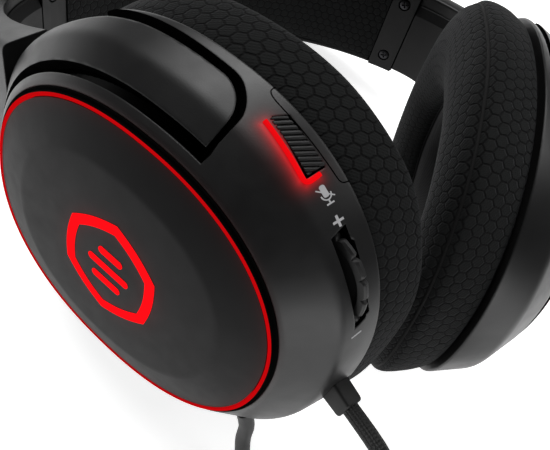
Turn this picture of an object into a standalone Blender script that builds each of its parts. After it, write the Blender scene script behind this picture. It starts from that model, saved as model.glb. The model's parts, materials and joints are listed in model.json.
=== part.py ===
"""Over-ear gaming headset, lying on its front edge with the crown away along +Y.

The design is drawn as worn (X right, Y front, Z up, millimetres) and laid down by
one parent empty.  A cup has its own frame: depth runs inwards from the light ring's
plane, then front and up.  Both cups lean 31.7 degrees, so the cushions nearly meet
at the bottom, as they do when nobody wears the headset.
"""
import math

import bmesh
import bpy
from mathutils import Matrix, Vector

MM = 0.001
GAP = 0.3

# Pose of the whole headset on the table
LAY_ANGLE = math.radians(-109.3)
LAY_PLACE = Vector((0.0, 7.947, 58.722))

# Cups
CUP_X = 59.7
CUP_TILT = math.radians(31.7)
CUP_YAW = math.radians(5.0)
SQUARENESS = 2.2
SEGMENTS = 48
RING_UP, RING_FRONT = 42.0, 35.7
RING_HALF = 0.8
PIVOT_DEPTH, PIVOT_UP = 11.0, -3.0
PLATE_DOME = 3.6
PLATE_EDGE = 0.5
EMBLEM_RADIUS = 14.6
# Outer skin: depth, up radius, front radius, centre height
SKIN = ((0.6, 43.1, 36.8, 0.0), (1.1, 44.0, 37.7, 0.0),
        (8.7, 52.2, 45.3, 0.0), (18.4, 52.5, 50.3, -2.4))
WALL = 6.2
SHELL_BACK = 18.4

# Fork
FORK_THICK = 3.6
FORK_SKIN = ((4.2, 47.34, 40.8, 0.0), (8.7, 52.2, 45.3, 0.0),
             (18.0, 53.6, 50.0, 0.0), (24.0, 54.8, 52.6, 0.0))
FORK_START = 4.2
FORK_STEPS = 32
PIN_RADIUS = 1.8

# Headband: inner face ellipse, as worn
BAND_CENTRE_Z = 23.0
BAND_X, BAND_Z = 94.0, 91.0
BAND_WIDTH = 33.6
PAD_END = math.radians(38.6)
BAND_END = math.radians(44.5)
SLIDER_TRAVEL = 25.0
STRIP_WIDTH, STRIP_THICK = 14.0, 1.2
SCREW_Y = 11.0

# Left cup's controls: angle from the top towards the rear, depth
WHEEL_ANGLE, WHEEL_DEPTH = math.radians(145.0), 13.05
WHEEL_RADIUS, WHEEL_SINK, WHEEL_THICK = 14.0, 12.0, 2.3
WHEEL_RIBS = 30
SLOT_LENGTH, SLOT_WIDTH = 21.0, 3.2
MUTE_ANGLE, MUTE_DEPTH = math.radians(110.2), 14.3
MUTE_LENGTH, MUTE_WIDTH, MUTE_TRAVEL = 12.8, 4.0, 0.8
RELIEF_ANGLE, RELIEF_DEPTH = math.radians(176.5), 15.2
MIC_ANGLE, MIC_DEPTH = math.radians(-134.6), 13.2

# Cable and boom
CABLE_D = 4.1
BOOM_D = 4.0
COIL_CENTRE = Vector((28.0, -108.0, 0.0))
COIL_MEAN = 22.45
COIL_HALF_WIDTH = 6.2
COIL_HEIGHT = 16.8
COIL_TURN = COIL_MEAN + COIL_HALF_WIDTH - CABLE_D / 2   # centreline radius of the outermost turns

COLOURS = {
    "matte_shell": ((0.020, 0.020, 0.022), 0.45, 0.0),
    "matte_plate": ((0.016, 0.016, 0.018), 0.40, 0.0),
    "dark_plastic": ((0.010, 0.010, 0.011), 0.55, 0.0),
    "red_light": ((0.80, 0.01, 0.02), 0.30, 0.0),
    "mesh_fabric": ((0.012, 0.012, 0.013), 0.90, 0.0),
    "speaker_cloth": ((0.020, 0.020, 0.021), 0.85, 0.0),
    "steel": ((0.45, 0.45, 0.47), 0.30, 1.0),
    "board": ((0.010, 0.080, 0.035), 0.50, 0.0),
    "rubber": ((0.015, 0.015, 0.016), 0.70, 0.0),
    "braid": ((0.010, 0.010, 0.011), 0.80, 0.0),
    "foam": ((0.008, 0.008, 0.008), 0.95, 0.0),
}


# ---------------------------------------------------------------- helpers

def clear_scene():
    for obj in list(bpy.data.objects):
        bpy.data.objects.remove(obj, do_unlink=True)


def material(name):
    found = bpy.data.materials.get(name)
    if found:
        return found
    colour, roughness, metallic = COLOURS[name]
    made = bpy.data.materials.new(name)
    made.use_nodes = True
    shader = made.node_tree.nodes["Principled BSDF"]
    shader.inputs["Base Color"].default_value = (*colour, 1.0)
    shader.inputs["Roughness"].default_value = roughness
    shader.inputs["Metallic"].default_value = metallic
    return made


def empty(name, parent=None, matrix=None):
    made = bpy.data.objects.new(name, None)
    bpy.context.scene.collection.objects.link(made)
    if parent:
        made.parent = parent
    if matrix is not None:
        made.matrix_basis = matrix
    return made


def make_object(name, bm, parent, slot, smooth=True):
    """Turn a bmesh drawn in the parent's frame, in millimetres, into an object."""
    bmesh.ops.scale(bm, vec=(MM, MM, MM), verts=bm.verts)
    bmesh.ops.recalc_face_normals(bm, faces=bm.faces)
    mesh = bpy.data.meshes.new(name)
    bm.to_mesh(mesh)
    bm.free()
    obj = bpy.data.objects.new(name, mesh)
    bpy.context.scene.collection.objects.link(obj)
    obj.parent = parent
    if slot:
        mesh.materials.append(material(slot))
    if smooth:
        mesh.shade_smooth()
        mesh.set_sharp_from_angle(angle=math.radians(32))
    return obj


def make_cutter(name, bm, parent):
    obj = make_object(name, bm, parent, None, smooth=False)
    obj.hide_render = True
    obj.display_type = "WIRE"
    return obj


def boolean(obj, cutter, operation="DIFFERENCE"):
    change = obj.modifiers.new(cutter.name, "BOOLEAN")
    change.operation = operation
    change.solver = "EXACT"
    change.object = cutter


def bridge(bm, rings, closed_loop=False, caps=False):
    """Join rings of equal length with quads; close the profile or cap its ends."""
    verts = [[bm.verts.new(point) for point in ring] for ring in rings]
    count = len(verts[0])
    pairs = list(zip(verts, verts[1:]))
    if closed_loop:
        pairs.append((verts[-1], verts[0]))
    for first, second in pairs:
        for i in range(count):
            j = (i + 1) % count
            bm.faces.new((first[i], first[j], second[j], second[i]))
    if caps:
        bm.faces.new(verts[0])
        bm.faces.new(list(reversed(verts[-1])))
    return bm


def prism(frame, half_x, half_y, low, high, taper=1.0):
    """Box in a local frame: X and Y across, Z from low to high."""
    rings = []
    for z, scale in ((low, 1.0), (high, taper)):
        corners = ((-half_x, -half_y), (half_x, -half_y), (half_x, half_y), (-half_x, half_y))
        rings.append([frame @ Vector((x * scale, y * scale, z)) for x, y in corners])
    return bridge(bmesh.new(), rings, caps=True)


def turned(frame, profile, segments=24):
    """Solid of revolution about the frame's Z axis from (radius, height) pairs."""
    rings = []
    for radius, height in profile:
        ring = []
        for i in range(segments):
            angle = 2 * math.pi * i / segments
            ring.append(frame @ Vector((radius * math.cos(angle), radius * math.sin(angle), height)))
        rings.append(ring)
    return rings


def turned_solid(frame, profile, segments=24):
    return bridge(bmesh.new(), turned(frame, profile, segments), caps=True)


def turned_ring(frame, profile, segments=24):
    return bridge(bmesh.new(), turned(frame, profile, segments), closed_loop=True)


# ---------------------------------------------------------------- cup frame

def lay_matrix():
    return Matrix.Translation(LAY_PLACE * MM) @ Matrix.Rotation(LAY_ANGLE, 4, "X")


def cup_matrix(side):
    """Cup frame as worn, with its origin on the fork's pivot axis."""
    turn = Matrix.Rotation(-side * CUP_YAW, 4, "Z") @ Matrix.Rotation(side * CUP_TILT, 4, "Y")
    pivot = turn @ Vector((-side * PIVOT_DEPTH, 0.0, PIVOT_UP))
    return Matrix.Translation((pivot + Vector((side * CUP_X, 0.0, 0.0))) * MM) @ turn


def cup_point(side, depth, front, up):
    return Vector((side * (PIVOT_DEPTH - depth), front, up - PIVOT_UP))


def world_point(side, depth, front, up):
    """A cup point in world millimetres."""
    local = cup_point(side, depth, front, up) * MM
    return (lay_matrix() @ cup_matrix(side) @ local) / MM


def squircle(angle, up, front):
    """Front and up of a superellipse, angle from the top towards the front."""
    power = 2.0 / SQUARENESS
    cosine, sine = math.cos(angle), math.sin(angle)
    return (math.copysign(abs(sine) ** power, sine) * front,
            math.copysign(abs(cosine) ** power, cosine) * up)


def cup_ring(side, depth, up, front, centre=0.0, segments=SEGMENTS):
    ring = []
    for i in range(segments):
        y, z = squircle(2 * math.pi * (i + 0.5) / segments, up, front)
        ring.append(cup_point(side, depth, y, z + centre))
    return ring


def read_skin(skin, depth):
    """Up radius, front radius and centre height of a skin at a depth."""
    for near, far in zip(skin, skin[1:]):
        if depth <= far[0] or far is skin[-1]:
            share = (depth - near[0]) / (far[0] - near[0])
            return [a + (b - a) * share for a, b in zip(near[1:], far[1:])]


def skin_point(side, angle, depth, skin=SKIN):
    up, front, centre = read_skin(skin, depth)
    y, z = squircle(angle, up, front)
    return cup_point(side, depth, y, z + centre)


def wall_frame(side, angle, depth):
    """Frame on the side wall: X along the rim, Y deeper, Z out of the wall."""
    step = 0.01
    origin = skin_point(side, angle, depth)
    along = (skin_point(side, angle + step, depth) - skin_point(side, angle - step, depth)).normalized()
    deeper = (skin_point(side, angle, depth + 1.0) - skin_point(side, angle, depth - 1.0)).normalized()
    normal = along.cross(deeper).normalized()
    if normal.dot(Vector((0.0, origin.y, origin.z))) < 0:
        normal = -normal
    deeper = (deeper - normal * deeper.dot(normal)).normalized()
    along = (along - deeper * along.dot(deeper)).normalized()
    rows = Matrix((along, deeper, normal)).transposed().to_4x4()
    return Matrix.Translation(origin) @ rows


def upright_frame(side, depth, front, up):
    """Frame with Z along the cup's outward axis."""
    rows = Matrix(((0, 0, side), (side, 0, 0), (0, 1, 0))).to_4x4()
    return Matrix.Translation(cup_point(side, depth, front, up)) @ rows


def cup_rings(side, profile, segments=SEGMENTS):
    return [cup_ring(side, *row, segments=segments) for row in profile]


# ---------------------------------------------------------------- cup pieces

def outer_shell(side, name, parent):
    front_up, front_front = SKIN[0][1], SKIN[0][2]
    profile = [(SKIN[0][0], front_up, front_front), (SKIN[1][0], SKIN[1][1], SKIN[1][2]),
               (8.7, 52.2, 45.3), (13.5, 52.35, 47.8, -1.2),
               (SHELL_BACK, 52.5, 50.3, -2.4), (SHELL_BACK, 46.6, 44.2, -2.4),
               (10.2, 46.0, 39.2), (3.8, 40.0, 33.7),
               (2.3, 40.0, 33.7), (2.3, front_up, front_front)]
    bm = bridge(bmesh.new(), cup_rings(side, profile), closed_loop=True)
    return make_object(name, bm, parent, "matte_shell")


def dome_depth(share):
    return -(PLATE_EDGE + PLATE_DOME * (1.0 - share * share))


def disc(side, rows, segments=SEGMENTS):
    """Capped stack of cup rings."""
    return bridge(bmesh.new(), cup_rings(side, rows, segments), caps=True)


def outer_plate(side, name, parent):
    up, front = RING_UP - RING_HALF - GAP, RING_FRONT - RING_HALF - GAP
    rows = [(dome_depth(share), up * share, front * share) for share in (0.15, 0.5, 0.8, 1.0)]
    rows += [(2.0, up, front), (0.6, up * 0.7, front * 0.7), (-1.7, up * 0.15, front * 0.15)]
    plate = make_object(name, disc(side, rows), parent, "matte_plate")
    pocket = turned_solid(upright_frame(side, -2.9, 0, 0), ((EMBLEM_RADIUS + GAP, 0), (EMBLEM_RADIUS + GAP, 4)), 32)
    boolean(plate, make_cutter("cut_pocket_" + name, pocket, parent))
    return plate


def emblem_lens(side, name, parent):
    rows = [(EMBLEM_RADIUS, 0.0), (EMBLEM_RADIUS, 0.32)]
    for radius in (9.0, 3.0):
        share = radius / RING_FRONT
        rows.append((radius, -dome_depth(share) - 3.2))
    solid = turned_solid(upright_frame(side, -3.2, 0, 0), rows, 32)
    return make_object(name, solid, parent, "red_light")


def light_ring(side, name, parent):
    rows = []
    for depth, offset in ((-0.8, 0.0), (-0.1, RING_HALF), (2.0, RING_HALF), (2.0, -RING_HALF), (-0.1, -RING_HALF)):
        rows.append((depth, RING_UP + offset, RING_FRONT + offset))
    bm = bridge(bmesh.new(), cup_rings(side, rows), closed_loop=True)
    return make_object(name, bm, parent, "red_light")


def ear_cushion(side, name, parent):
    rows = [(18.75, 49.5, 47.5, -2.5), (22.5, 51.6, 51.2, -3.4), (31.9, 52.2, 53.3, -5.1),
            (35.6, 48.6, 49.0, -5.1), (37.4, 42.0, 40.0, -5.1), (36.0, 34.0, 28.6, -5.1),
            (30.0, 30.3, 23.6, -4.8), (18.75, 30.0, 23.0, -4.0)]
    bm = bridge(bmesh.new(), cup_rings(side, rows, 40), closed_loop=True)
    return make_object(name, bm, parent, "mesh_fabric")


def cup_insides(side, word, parent):
    baffle = bridge(bmesh.new(), cup_rings(side, ((15.3, 43.6, 39.6, -1.6), (17.6, 44.6, 41.6, -2.2),
                                                  (17.6, 22.0, 22.0), (15.3, 22.0, 22.0)), 48), closed_loop=True)
    make_object("baffle_" + word, baffle, parent, "dark_plastic")
    screen = disc(side, ((17.9, 43.6, 40.6, -2.2), (18.4, 43.6, 40.6, -2.2)), 48)
    make_object("speaker_cloth_" + word, screen, parent, "speaker_cloth")
    frame = upright_frame(side, 15.0, 0, 0)
    speaker = turned_solid(frame, ((24.5, 0), (24.5, 1.6), (21.0, 4.0), (13.0, 4.2)), 32)
    make_object("speaker_" + word, speaker, parent, "dark_plastic")
    magnet = turned_solid(frame, ((11.5, 4.5), (11.5, 8.2)), 24)
    make_object("magnet_" + word, magnet, parent, "steel")
    board = disc(side, ((4.3, 37.0, 31.0), (5.5, 37.0, 31.0)), 32)
    make_object("led_board_" + word, board, parent, "board")


# ---------------------------------------------------------------- fork and arm

def fork_back(angle):
    """Depth of the fork's inner edge: it runs back towards the headband at the top."""
    away = max(0.0, math.radians(95.5) - abs(angle)) / math.radians(35.0)
    return 14.4 + 2.0 * away ** 1.3


def fork_skin_point(side, angle, depth, radial, deeper):
    up, front, centre = read_skin(FORK_SKIN, depth)
    y, z = squircle(angle, up + radial, front + radial)
    return cup_point(side, depth + deeper, y, z + centre)


def fork_strip(side, grow_front, grow_back, grow_end, out, inn):
    """The U-shaped band: outer skin raised by out, underside lowered by inn."""
    ends = (math.radians(97.5), math.radians(97.0), math.radians(95.0))
    rings = []
    diagonal = math.sqrt(0.5)
    for i in range(FORK_STEPS + 1):
        share = -1.0 + 2.0 * i / FORK_STEPS
        angles = [share * (end + grow_end) for end in ends]
        back = fork_back(angles[2]) + grow_back
        start = FORK_START - grow_front * diagonal

        rings.append([fork_skin_point(side, angles[0], start, out * diagonal, -out * diagonal),
                      fork_skin_point(side, angles[1], 8.7, out, -0.4 * out),
                      fork_skin_point(side, angles[2], back, out, 0.0),
                      fork_skin_point(side, angles[2], back, -inn, 0.0),
                      fork_skin_point(side, angles[1], 8.7, -inn * 0.95, 0.42 * inn),
                      fork_skin_point(side, angles[0], start, -inn * diagonal, inn * diagonal)])
    return bridge(bmesh.new(), rings, caps=True)


def arch_point(side, angle, offset, y):
    """Point of the headband as worn: angle from the crown, offset outwards."""
    return Vector((side * (BAND_X + offset) * math.sin(angle), y,
                   BAND_CENTRE_Z + (BAND_Z + offset) * math.cos(angle)))


def arm_stations(side, inner, outer):
    """Centre, across-thickness and half thickness along the arm, as worn."""
    start = arch_point(side, BAND_END + 0.005, (inner + outer) / 2, 0.0)
    start_dir = Vector((side * math.cos(BAND_END), 0.0, -math.sin(BAND_END))).normalized()
    normal = Vector((math.cos(CUP_TILT) * side, 0.0, -math.sin(CUP_TILT)))
    upward = Vector((math.sin(CUP_TILT) * side, 0.0, math.cos(CUP_TILT)))
    foot = Vector((side * CUP_X, 0.0, 0.0)) - normal * 15.2 + upward * 50.6
    handles = (start, start + start_dir * 18.0, foot + upward * 20.0, foot)
    stations = []
    steps = 9
    for i in range(steps + 1):
        t = i / steps
        a, b, c, d = handles
        point = a * (1 - t) ** 3 + b * 3 * t * (1 - t) ** 2 + c * 3 * t * t * (1 - t) + d * t ** 3
        tangent = (b - a) * 3 * (1 - t) ** 2 + (c - b) * 6 * t * (1 - t) + (d - c) * 3 * t * t
        across = Vector((0.0, 1.0, 0.0)).cross(tangent.normalized()) * side
        if across.x * side < 0:
            across = -across
        stations.append((t, point, across))
    return stations


def arm_ring(point, across, low, high, half, edge):
    """Section with its two outer edges bevelled."""
    corners = ((low, -half + edge * 0.35), (low, half - edge * 0.35), (low + edge * 0.6, half),
               (high - edge, half), (high, half - edge), (high, -half + edge),
               (high - edge, -half), (low + edge * 0.6, -half))
    return [point + across * x + Vector((0.0, y, 0.0)) for x, y in corners]


def arm_body(side):
    rings = []
    for t, point, across in arm_stations(side, 2.3, 9.0):
        flare = t ** 3
        low, high = -3.35 - 3.0 * flare, 3.35 + 3.0 * flare
        rings.append(arm_ring(point, across, low, high, BAND_WIDTH / 2 + 7.0 * flare, 1.6))
    return bridge(bmesh.new(), rings, caps=True)


def arm_cover(side):
    rings = []
    for t, point, across in arm_stations(side, 2.3, 9.0)[:8]:
        flare = t ** 3
        top = -3.35 - 3.0 * flare - GAP
        half = BAND_WIDTH / 2 - 4.6 + 3.0 * flare
        corners = ((top, -half), (top, half), (top - 1.9, half - 1.0), (top - 1.9, -half + 1.0))
        rings.append([point + across * x + Vector((0.0, y, 0.0)) for x, y in corners])
    return bridge(bmesh.new(), rings, caps=True)


def slider_frame(side):
    """Frame on the slider: Z runs down and out along the travel."""
    low = arch_point(side, BAND_END, 6.0, 0.0)
    high = arch_point(side, math.radians(23.0), 12.0, 0.0)
    travel = (low - high).normalized()
    width = Vector((0.0, 1.0, 0.0))
    rows = Matrix((width, travel.cross(width), travel)).transposed().to_4x4()
    return Matrix.Translation(low) @ rows


def fork_arm(side, word, lay, cup):
    strip = fork_strip(side, 0.0, 0.0, 0.0, 0.0, FORK_THICK)
    fork = make_object("fork_arm_" + word, strip, cup, "matte_shell")
    stem = make_cutter("add_stem_" + word, arm_body(side), lay)
    boolean(fork, stem, "UNION")
    frame = slider_frame(side)
    pocket = prism(frame, STRIP_WIDTH / 2 + GAP, STRIP_THICK / 2 + GAP, -3.0, 10.4)
    boolean(fork, make_cutter("cut_arm_pocket_" + word, pocket, lay))
    for front, end in ((1, "front"), (-1, "rear")):
        axis = Matrix.Rotation(math.radians(-90 * front), 4, "X")
        hole = turned_solid(axis, ((PIN_RADIUS + GAP, 40.0), (PIN_RADIUS + GAP, 45.4)), 16)
        boolean(fork, make_cutter("cut_pin_%s_%s" % (word, end), hole, cup))
        pin = turned_solid(axis, ((PIN_RADIUS, 37.5), (PIN_RADIUS, 45.0)), 16)
        make_object("pivot_pin_%s_%s" % (word, end), pin, cup, "steel")
    make_object("arm_cover_" + word, arm_cover(side), lay, "dark_plastic")
    strip = prism(frame, STRIP_WIDTH / 2, STRIP_THICK / 2, -33.0, 10.0)
    make_object("slider_strip_" + word, strip, lay, "steel", smooth=False)
    return fork


def shell_cuts(shell, side, word, cup):
    recess = fork_strip(side, 2.6, 2.0, math.radians(3.2), 6.0, FORK_THICK + 1.0)
    boolean(shell, make_cutter("cut_recess_" + word, recess, cup))
    for front in (1, -1):
        axis = Matrix.Rotation(math.radians(-90 * front), 4, "X")
        hole = turned_solid(axis, ((PIN_RADIUS + GAP, 34.0), (PIN_RADIUS + GAP, 47.0)), 16)
        boolean(shell, make_cutter("cut_pin_hole_%s_%d" % (word, front), hole, cup))


# ---------------------------------------------------------------- headband

def band_inner(angle):
    """Offset of the shell's underside: thick padding at the crown, none at the ends."""
    share = min(1.0, abs(angle) / BAND_END)
    return 3.0 + 8.5 * (1.0 - share * share)


def band_outer(angle):
    share = min(1.0, abs(angle) / BAND_END)
    return 9.0 + 8.0 * (1.0 - share * share)


def arch(end, low, high, half, steps, edge=0.0):
    """Strip along the headband between two offset functions of the angle."""
    rings = []
    for i in range(steps + 1):
        angle = -end + 2 * end * i / steps
        bottom, top = low(angle), high(angle)
        corners = [(bottom, -half), (bottom, half), (top - edge, half)]
        if edge:
            corners += [(top, half - edge), (top, -half + edge)]
        corners += [(top - edge, -half)]
        rings.append([arch_point(1, angle, o, y) for o, y in corners])
    return bridge(bmesh.new(), rings, caps=True)


def band_piece(side, start, end, low, high, half, steps=3):
    rings = []
    for i in range(steps + 1):
        angle = start + (end - start) * i / steps
        corners = ((low, -half), (low, half), (high, half), (high, -half))
        rings.append([arch_point(side, angle, o, y) for o, y in corners])
    return bridge(bmesh.new(), rings, caps=True)


def screw_frame(side, front):
    """Frame in a bracket's screw: Z points out of the bracket towards the head."""
    angle = (PAD_END + BAND_END) / 2
    origin = arch_point(side, angle, 0.0, front * SCREW_Y)
    inward = (arch_point(side, angle, -1.0, 0.0) - arch_point(side, angle, 0.0, 0.0)).normalized()
    width = Vector((0.0, 1.0, 0.0))
    rows = Matrix((width.cross(inward), width, inward)).transposed().to_4x4()
    return Matrix.Translation(origin) @ rows


def headband(lay):
    half = BAND_WIDTH / 2
    shell = make_object("headband_shell", arch(BAND_END, band_inner, band_outer, half, 28, 1.6), lay, "matte_shell")
    spring = arch(math.radians(36.0), lambda a: band_inner(a) - 1.1, lambda a: band_inner(a) - 0.35,
                  half - 8.0, 24)
    make_object("spring_band", spring, lay, "steel")
    pad = arch(PAD_END - 0.004, lambda a: 0.0, lambda a: band_inner(a) - 1.45, half - 0.5, 24)
    make_object("headband_pad", pad, lay, "mesh_fabric")
    for side, word in ((-1, "left"), (1, "right")):
        bracket = make_object("end_bracket_" + word,
                              band_piece(side, PAD_END, BAND_END, 0.2, 2.6, half), lay, "dark_plastic")
        channel = prism(slider_frame(side), STRIP_WIDTH / 2 + 2 * GAP, STRIP_THICK / 2 + GAP, -34.0, 4.0)
        boolean(shell, make_cutter("cut_channel_" + word, channel, lay))
        for front, end in ((1, "front"), (-1, "rear")):
            frame = screw_frame(side, front)
            tail = "%s_%s" % (word, end)
            seat = turned_solid(frame, ((1.3, -5.4), (1.3, -1.7), (2.3, -1.7), (2.3, 1.5)), 16)
            cutter = make_cutter("cut_screw_" + tail, seat, lay)
            boolean(bracket, cutter)
            boolean(shell, cutter)
            screw = turned_solid(frame, ((1.0, -5.0), (1.0, -1.4), (1.95, -1.4), (1.95, -0.5), (1.3, -0.1)), 16)
            make_object("bracket_screw_" + tail, screw, lay, "steel")
    return shell


# ---------------------------------------------------------------- left cup's controls

def volume_wheel_frame(cup_side):
    wall = wall_frame(cup_side, -WHEEL_ANGLE, WHEEL_DEPTH)
    inward = -Vector((0.0, wall.col[2].y, wall.col[2].z)).normalized()
    centre = wall.translation + inward * WHEEL_SINK
    rows = Matrix(((0, 0, cup_side), (cup_side, 0, 0), (0, 1, 0))).to_4x4()
    return Matrix.Translation(centre) @ rows


def volume_wheel(side, parent):
    frame = volume_wheel_frame(side)
    frame.translation *= MM
    axis = empty("volume_wheel_axis", parent, frame)
    rings = []
    for radius, height in ((2.3, -1), (1.0, -1), (1.0, 1), (2.3, 1)):
        ring = []
        for i in range(WHEEL_RIBS * 2):
            angle = math.pi * i / WHEEL_RIBS
            size = radius if radius > 2 else WHEEL_RADIUS - (0.8 if i % 2 else 0.0)
            ring.append(Vector((size * math.cos(angle), size * math.sin(angle), height * WHEEL_THICK / 2)))
        rings.append(ring)
    bm = bridge(bmesh.new(), rings, closed_loop=True)
    make_object("volume_wheel", bm, axis, "dark_plastic", smooth=False)
    axle = turned_solid(volume_wheel_frame(side), ((1.9, -1.5), (1.9, 3.2)), 16)
    make_object("volume_dial_axle", axle, parent, "steel")


def control_cuts(shell, side, parent):
    slot = prism(wall_frame(side, -WHEEL_ANGLE, WHEEL_DEPTH), SLOT_LENGTH / 2, SLOT_WIDTH / 2, -5.0, 4.0)
    boolean(shell, make_cutter("cut_slot", slot, parent))
    room = turned_solid(volume_wheel_frame(side), ((WHEEL_RADIUS + 0.5, -1.55), (WHEEL_RADIUS + 0.5, 1.55)), 48)
    boolean(shell, make_cutter("cut_wheel_room", room, parent))
    frame = wall_frame(side, -MUTE_ANGLE, MUTE_DEPTH)
    shift = Matrix.Translation((0.0, -0.75, 0.0))
    pocket = prism(frame @ shift, MUTE_LENGTH / 2 + GAP, MUTE_WIDTH / 2 + 1.05, -9.0, 3.0)
    boolean(shell, make_cutter("cut_mute", pocket, parent))
    hole = prism(wall_frame(side, RELIEF_ANGLE, RELIEF_DEPTH), 3.65, 2.75, -9.0, 3.0)
    boolean(shell, make_cutter("cut_relief", hole, parent))
    hole = turned_solid(wall_frame(side, -MIC_ANGLE, MIC_DEPTH), ((3.5, -9.0), (3.5, 4.0)), 16)
    boolean(shell, make_cutter("cut_mic", hole, parent))


def controls(side, parent):
    frame = wall_frame(side, -MUTE_ANGLE, MUTE_DEPTH)
    make_object("mute_button", prism(frame, MUTE_LENGTH / 2, MUTE_WIDTH / 2, -2.2, 0.5),
                parent, "dark_plastic", smooth=False)
    bar = frame @ Matrix.Translation((0.0, -MUTE_WIDTH / 2 - 0.95, 0.0))
    make_object("mute_light", prism(bar, MUTE_LENGTH / 2, 0.55, -2.2, 0.3), parent, "red_light", smooth=False)
    make_object("mute_switch", prism(frame, 3.0, 1.3, -5.6, -2.2 - MUTE_TRAVEL - 0.2), parent, "steel", smooth=False)
    middle = math.radians(135.0)
    board = upright_frame(side, 8.3, -29.5 * math.sin(middle), 29.5 * math.cos(middle))
    turn = board @ Matrix.Rotation(math.radians(45.0), 4, "Z")
    make_object("control_board", prism(turn, 11.0, 5.5, 0.0, 1.2), parent, "board", smooth=False)


def cable_relief(side, parent):
    frame = wall_frame(side, RELIEF_ANGLE, RELIEF_DEPTH)
    make_object("strain_relief", prism(frame, 3.35, 2.45, -4.0, 6.5, 0.93), parent, "rubber", smooth=False)


# ---------------------------------------------------------------- boom and cable

def smooth_route(points, spacing):
    """Evenly spaced points on a Catmull-Rom curve through the route's own points."""
    points = [Vector(p) for p in points]
    guides = [points[0] * 2 - points[1]] + points + [points[-1] * 2 - points[-2]]
    fine = []
    for a, b, c, d in zip(guides, guides[1:], guides[2:], guides[3:]):
        for i in range(24):
            t = i / 24.0
            fine.append(0.5 * (2 * b + (c - a) * t + (2 * a - 5 * b + 4 * c - d) * t * t
                               + (3 * b - a - 3 * c + d) * t ** 3))
    fine.append(points[-1])
    total = sum((b - a).length for a, b in zip(fine, fine[1:]))
    count = max(2, round(total / spacing))
    step, route, walked = total / count, [fine[0]], 0.0
    for a, b in zip(fine, fine[1:]):
        length = (b - a).length
        while length and walked + length >= step * len(route) and len(route) < count:
            route.append(a.lerp(b, (step * len(route) - walked) / length))
        walked += length
    route.append(fine[-1])
    return route


def tube(name, route, diameter, slot, resolution=2):
    curve = bpy.data.curves.new(name, "CURVE")
    curve.dimensions = "3D"
    curve.bevel_depth = diameter / 2 * MM
    curve.bevel_resolution = resolution
    curve.render_resolution_u = 0
    curve.use_fill_caps = True
    spline = curve.splines.new("POLY")
    spline.points.add(len(route) - 1)
    for place, point in zip(spline.points, route):
        place.co = (*(point * MM), 1.0)
    curve.materials.append(material(slot))
    obj = bpy.data.objects.new(name, curve)
    bpy.context.scene.collection.objects.link(obj)
    return obj


def axis_frame(origin, direction):
    return Matrix.Translation(origin) @ direction.normalized().to_track_quat("Z", "Y").to_matrix().to_4x4()


def mic_route(side):
    """Boom route in world millimetres: out of the cup, then level above the table."""
    frame = wall_frame(side, -MIC_ANGLE, MIC_DEPTH)
    socket = (lay_matrix() @ cup_matrix(side) @ (frame @ Vector((0, 0, 3.0)) * MM)) / MM
    near = [socket, world_point(side, 14.7, 43.5, -42.0), world_point(side, 14.7, 52.0, -43.6)]
    end = near[-1]
    far = [end + Vector(step) for step in ((1.0, -8.5, -8.5), (2.0, -22.0, -10.5), (3.5, -40.0, -9.8),
                                           (5.0, -58.0, -9.2), (6.0, -74.0, -8.6))]
    return near + far


def microphone(side, cup):
    frame = wall_frame(side, -MIC_ANGLE, MIC_DEPTH)
    socket = turned_solid(frame, ((3.2, -5.0), (3.2, 0.6), (2.7, 1.4)), 16)
    make_object("mic_socket", socket, cup, "rubber")
    route = smooth_route(mic_route(side), 5.0)
    hinge = Vector(route[0])
    axis = empty("mic_axis", matrix=Matrix.Translation(hinge * MM))
    route = [point - hinge for point in route]
    boom = tube("mic_boom", route, BOOM_D, "rubber")
    boom.parent = axis
    tip = axis_frame(route[-1], route[-1] - route[-2])
    capsule = turned_solid(tip, ((3.0, 0.3), (4.2, 2.0), (4.2, 8.0)), 20)
    make_object("mic_capsule", capsule, axis, "dark_plastic")
    foam = turned_solid(tip, ((5.0, 8.3), (7.2, 11.0), (7.6, 16.0), (6.6, 21.0), (3.6, 24.5)), 20)
    make_object("mic_windscreen", foam, axis, "foam")


def coil_clearance():
    """How far along a tangent at COIL_TURN the cable is clear of the coil's rim."""
    return math.sqrt((COIL_MEAN + COIL_HALF_WIDTH) ** 2 - (COIL_TURN - CABLE_D / 2) ** 2) + 0.4


def cable_route(side):
    """Free stretch: out of the relief, down beside the cup, on to the coil's top layer."""
    frame = wall_frame(side, RELIEF_ANGLE, RELIEF_DEPTH)
    place = lay_matrix() @ cup_matrix(side)
    start = (place @ (frame @ Vector((0, 0, 7.2)) * MM)) / MM
    second = (place @ (frame @ Vector((0, 0, 16.0)) * MM)) / MM
    left = COIL_CENTRE.x - COIL_TURN
    top = COIL_HEIGHT - CABLE_D / 2
    rest = [(-12.2, -53.0, 66.3), (-8.8, -60.5, 57.0), (-5.6, -66.3, 45.5), (-2.6, -71.5, 33.5),
            (0.2, -78.5, 22.5), (left, -88.0, top + 1.6), (left, COIL_CENTRE.y + coil_clearance(), top + 0.5)]
    return [start, second] + [Vector(p) for p in rest]


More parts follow.
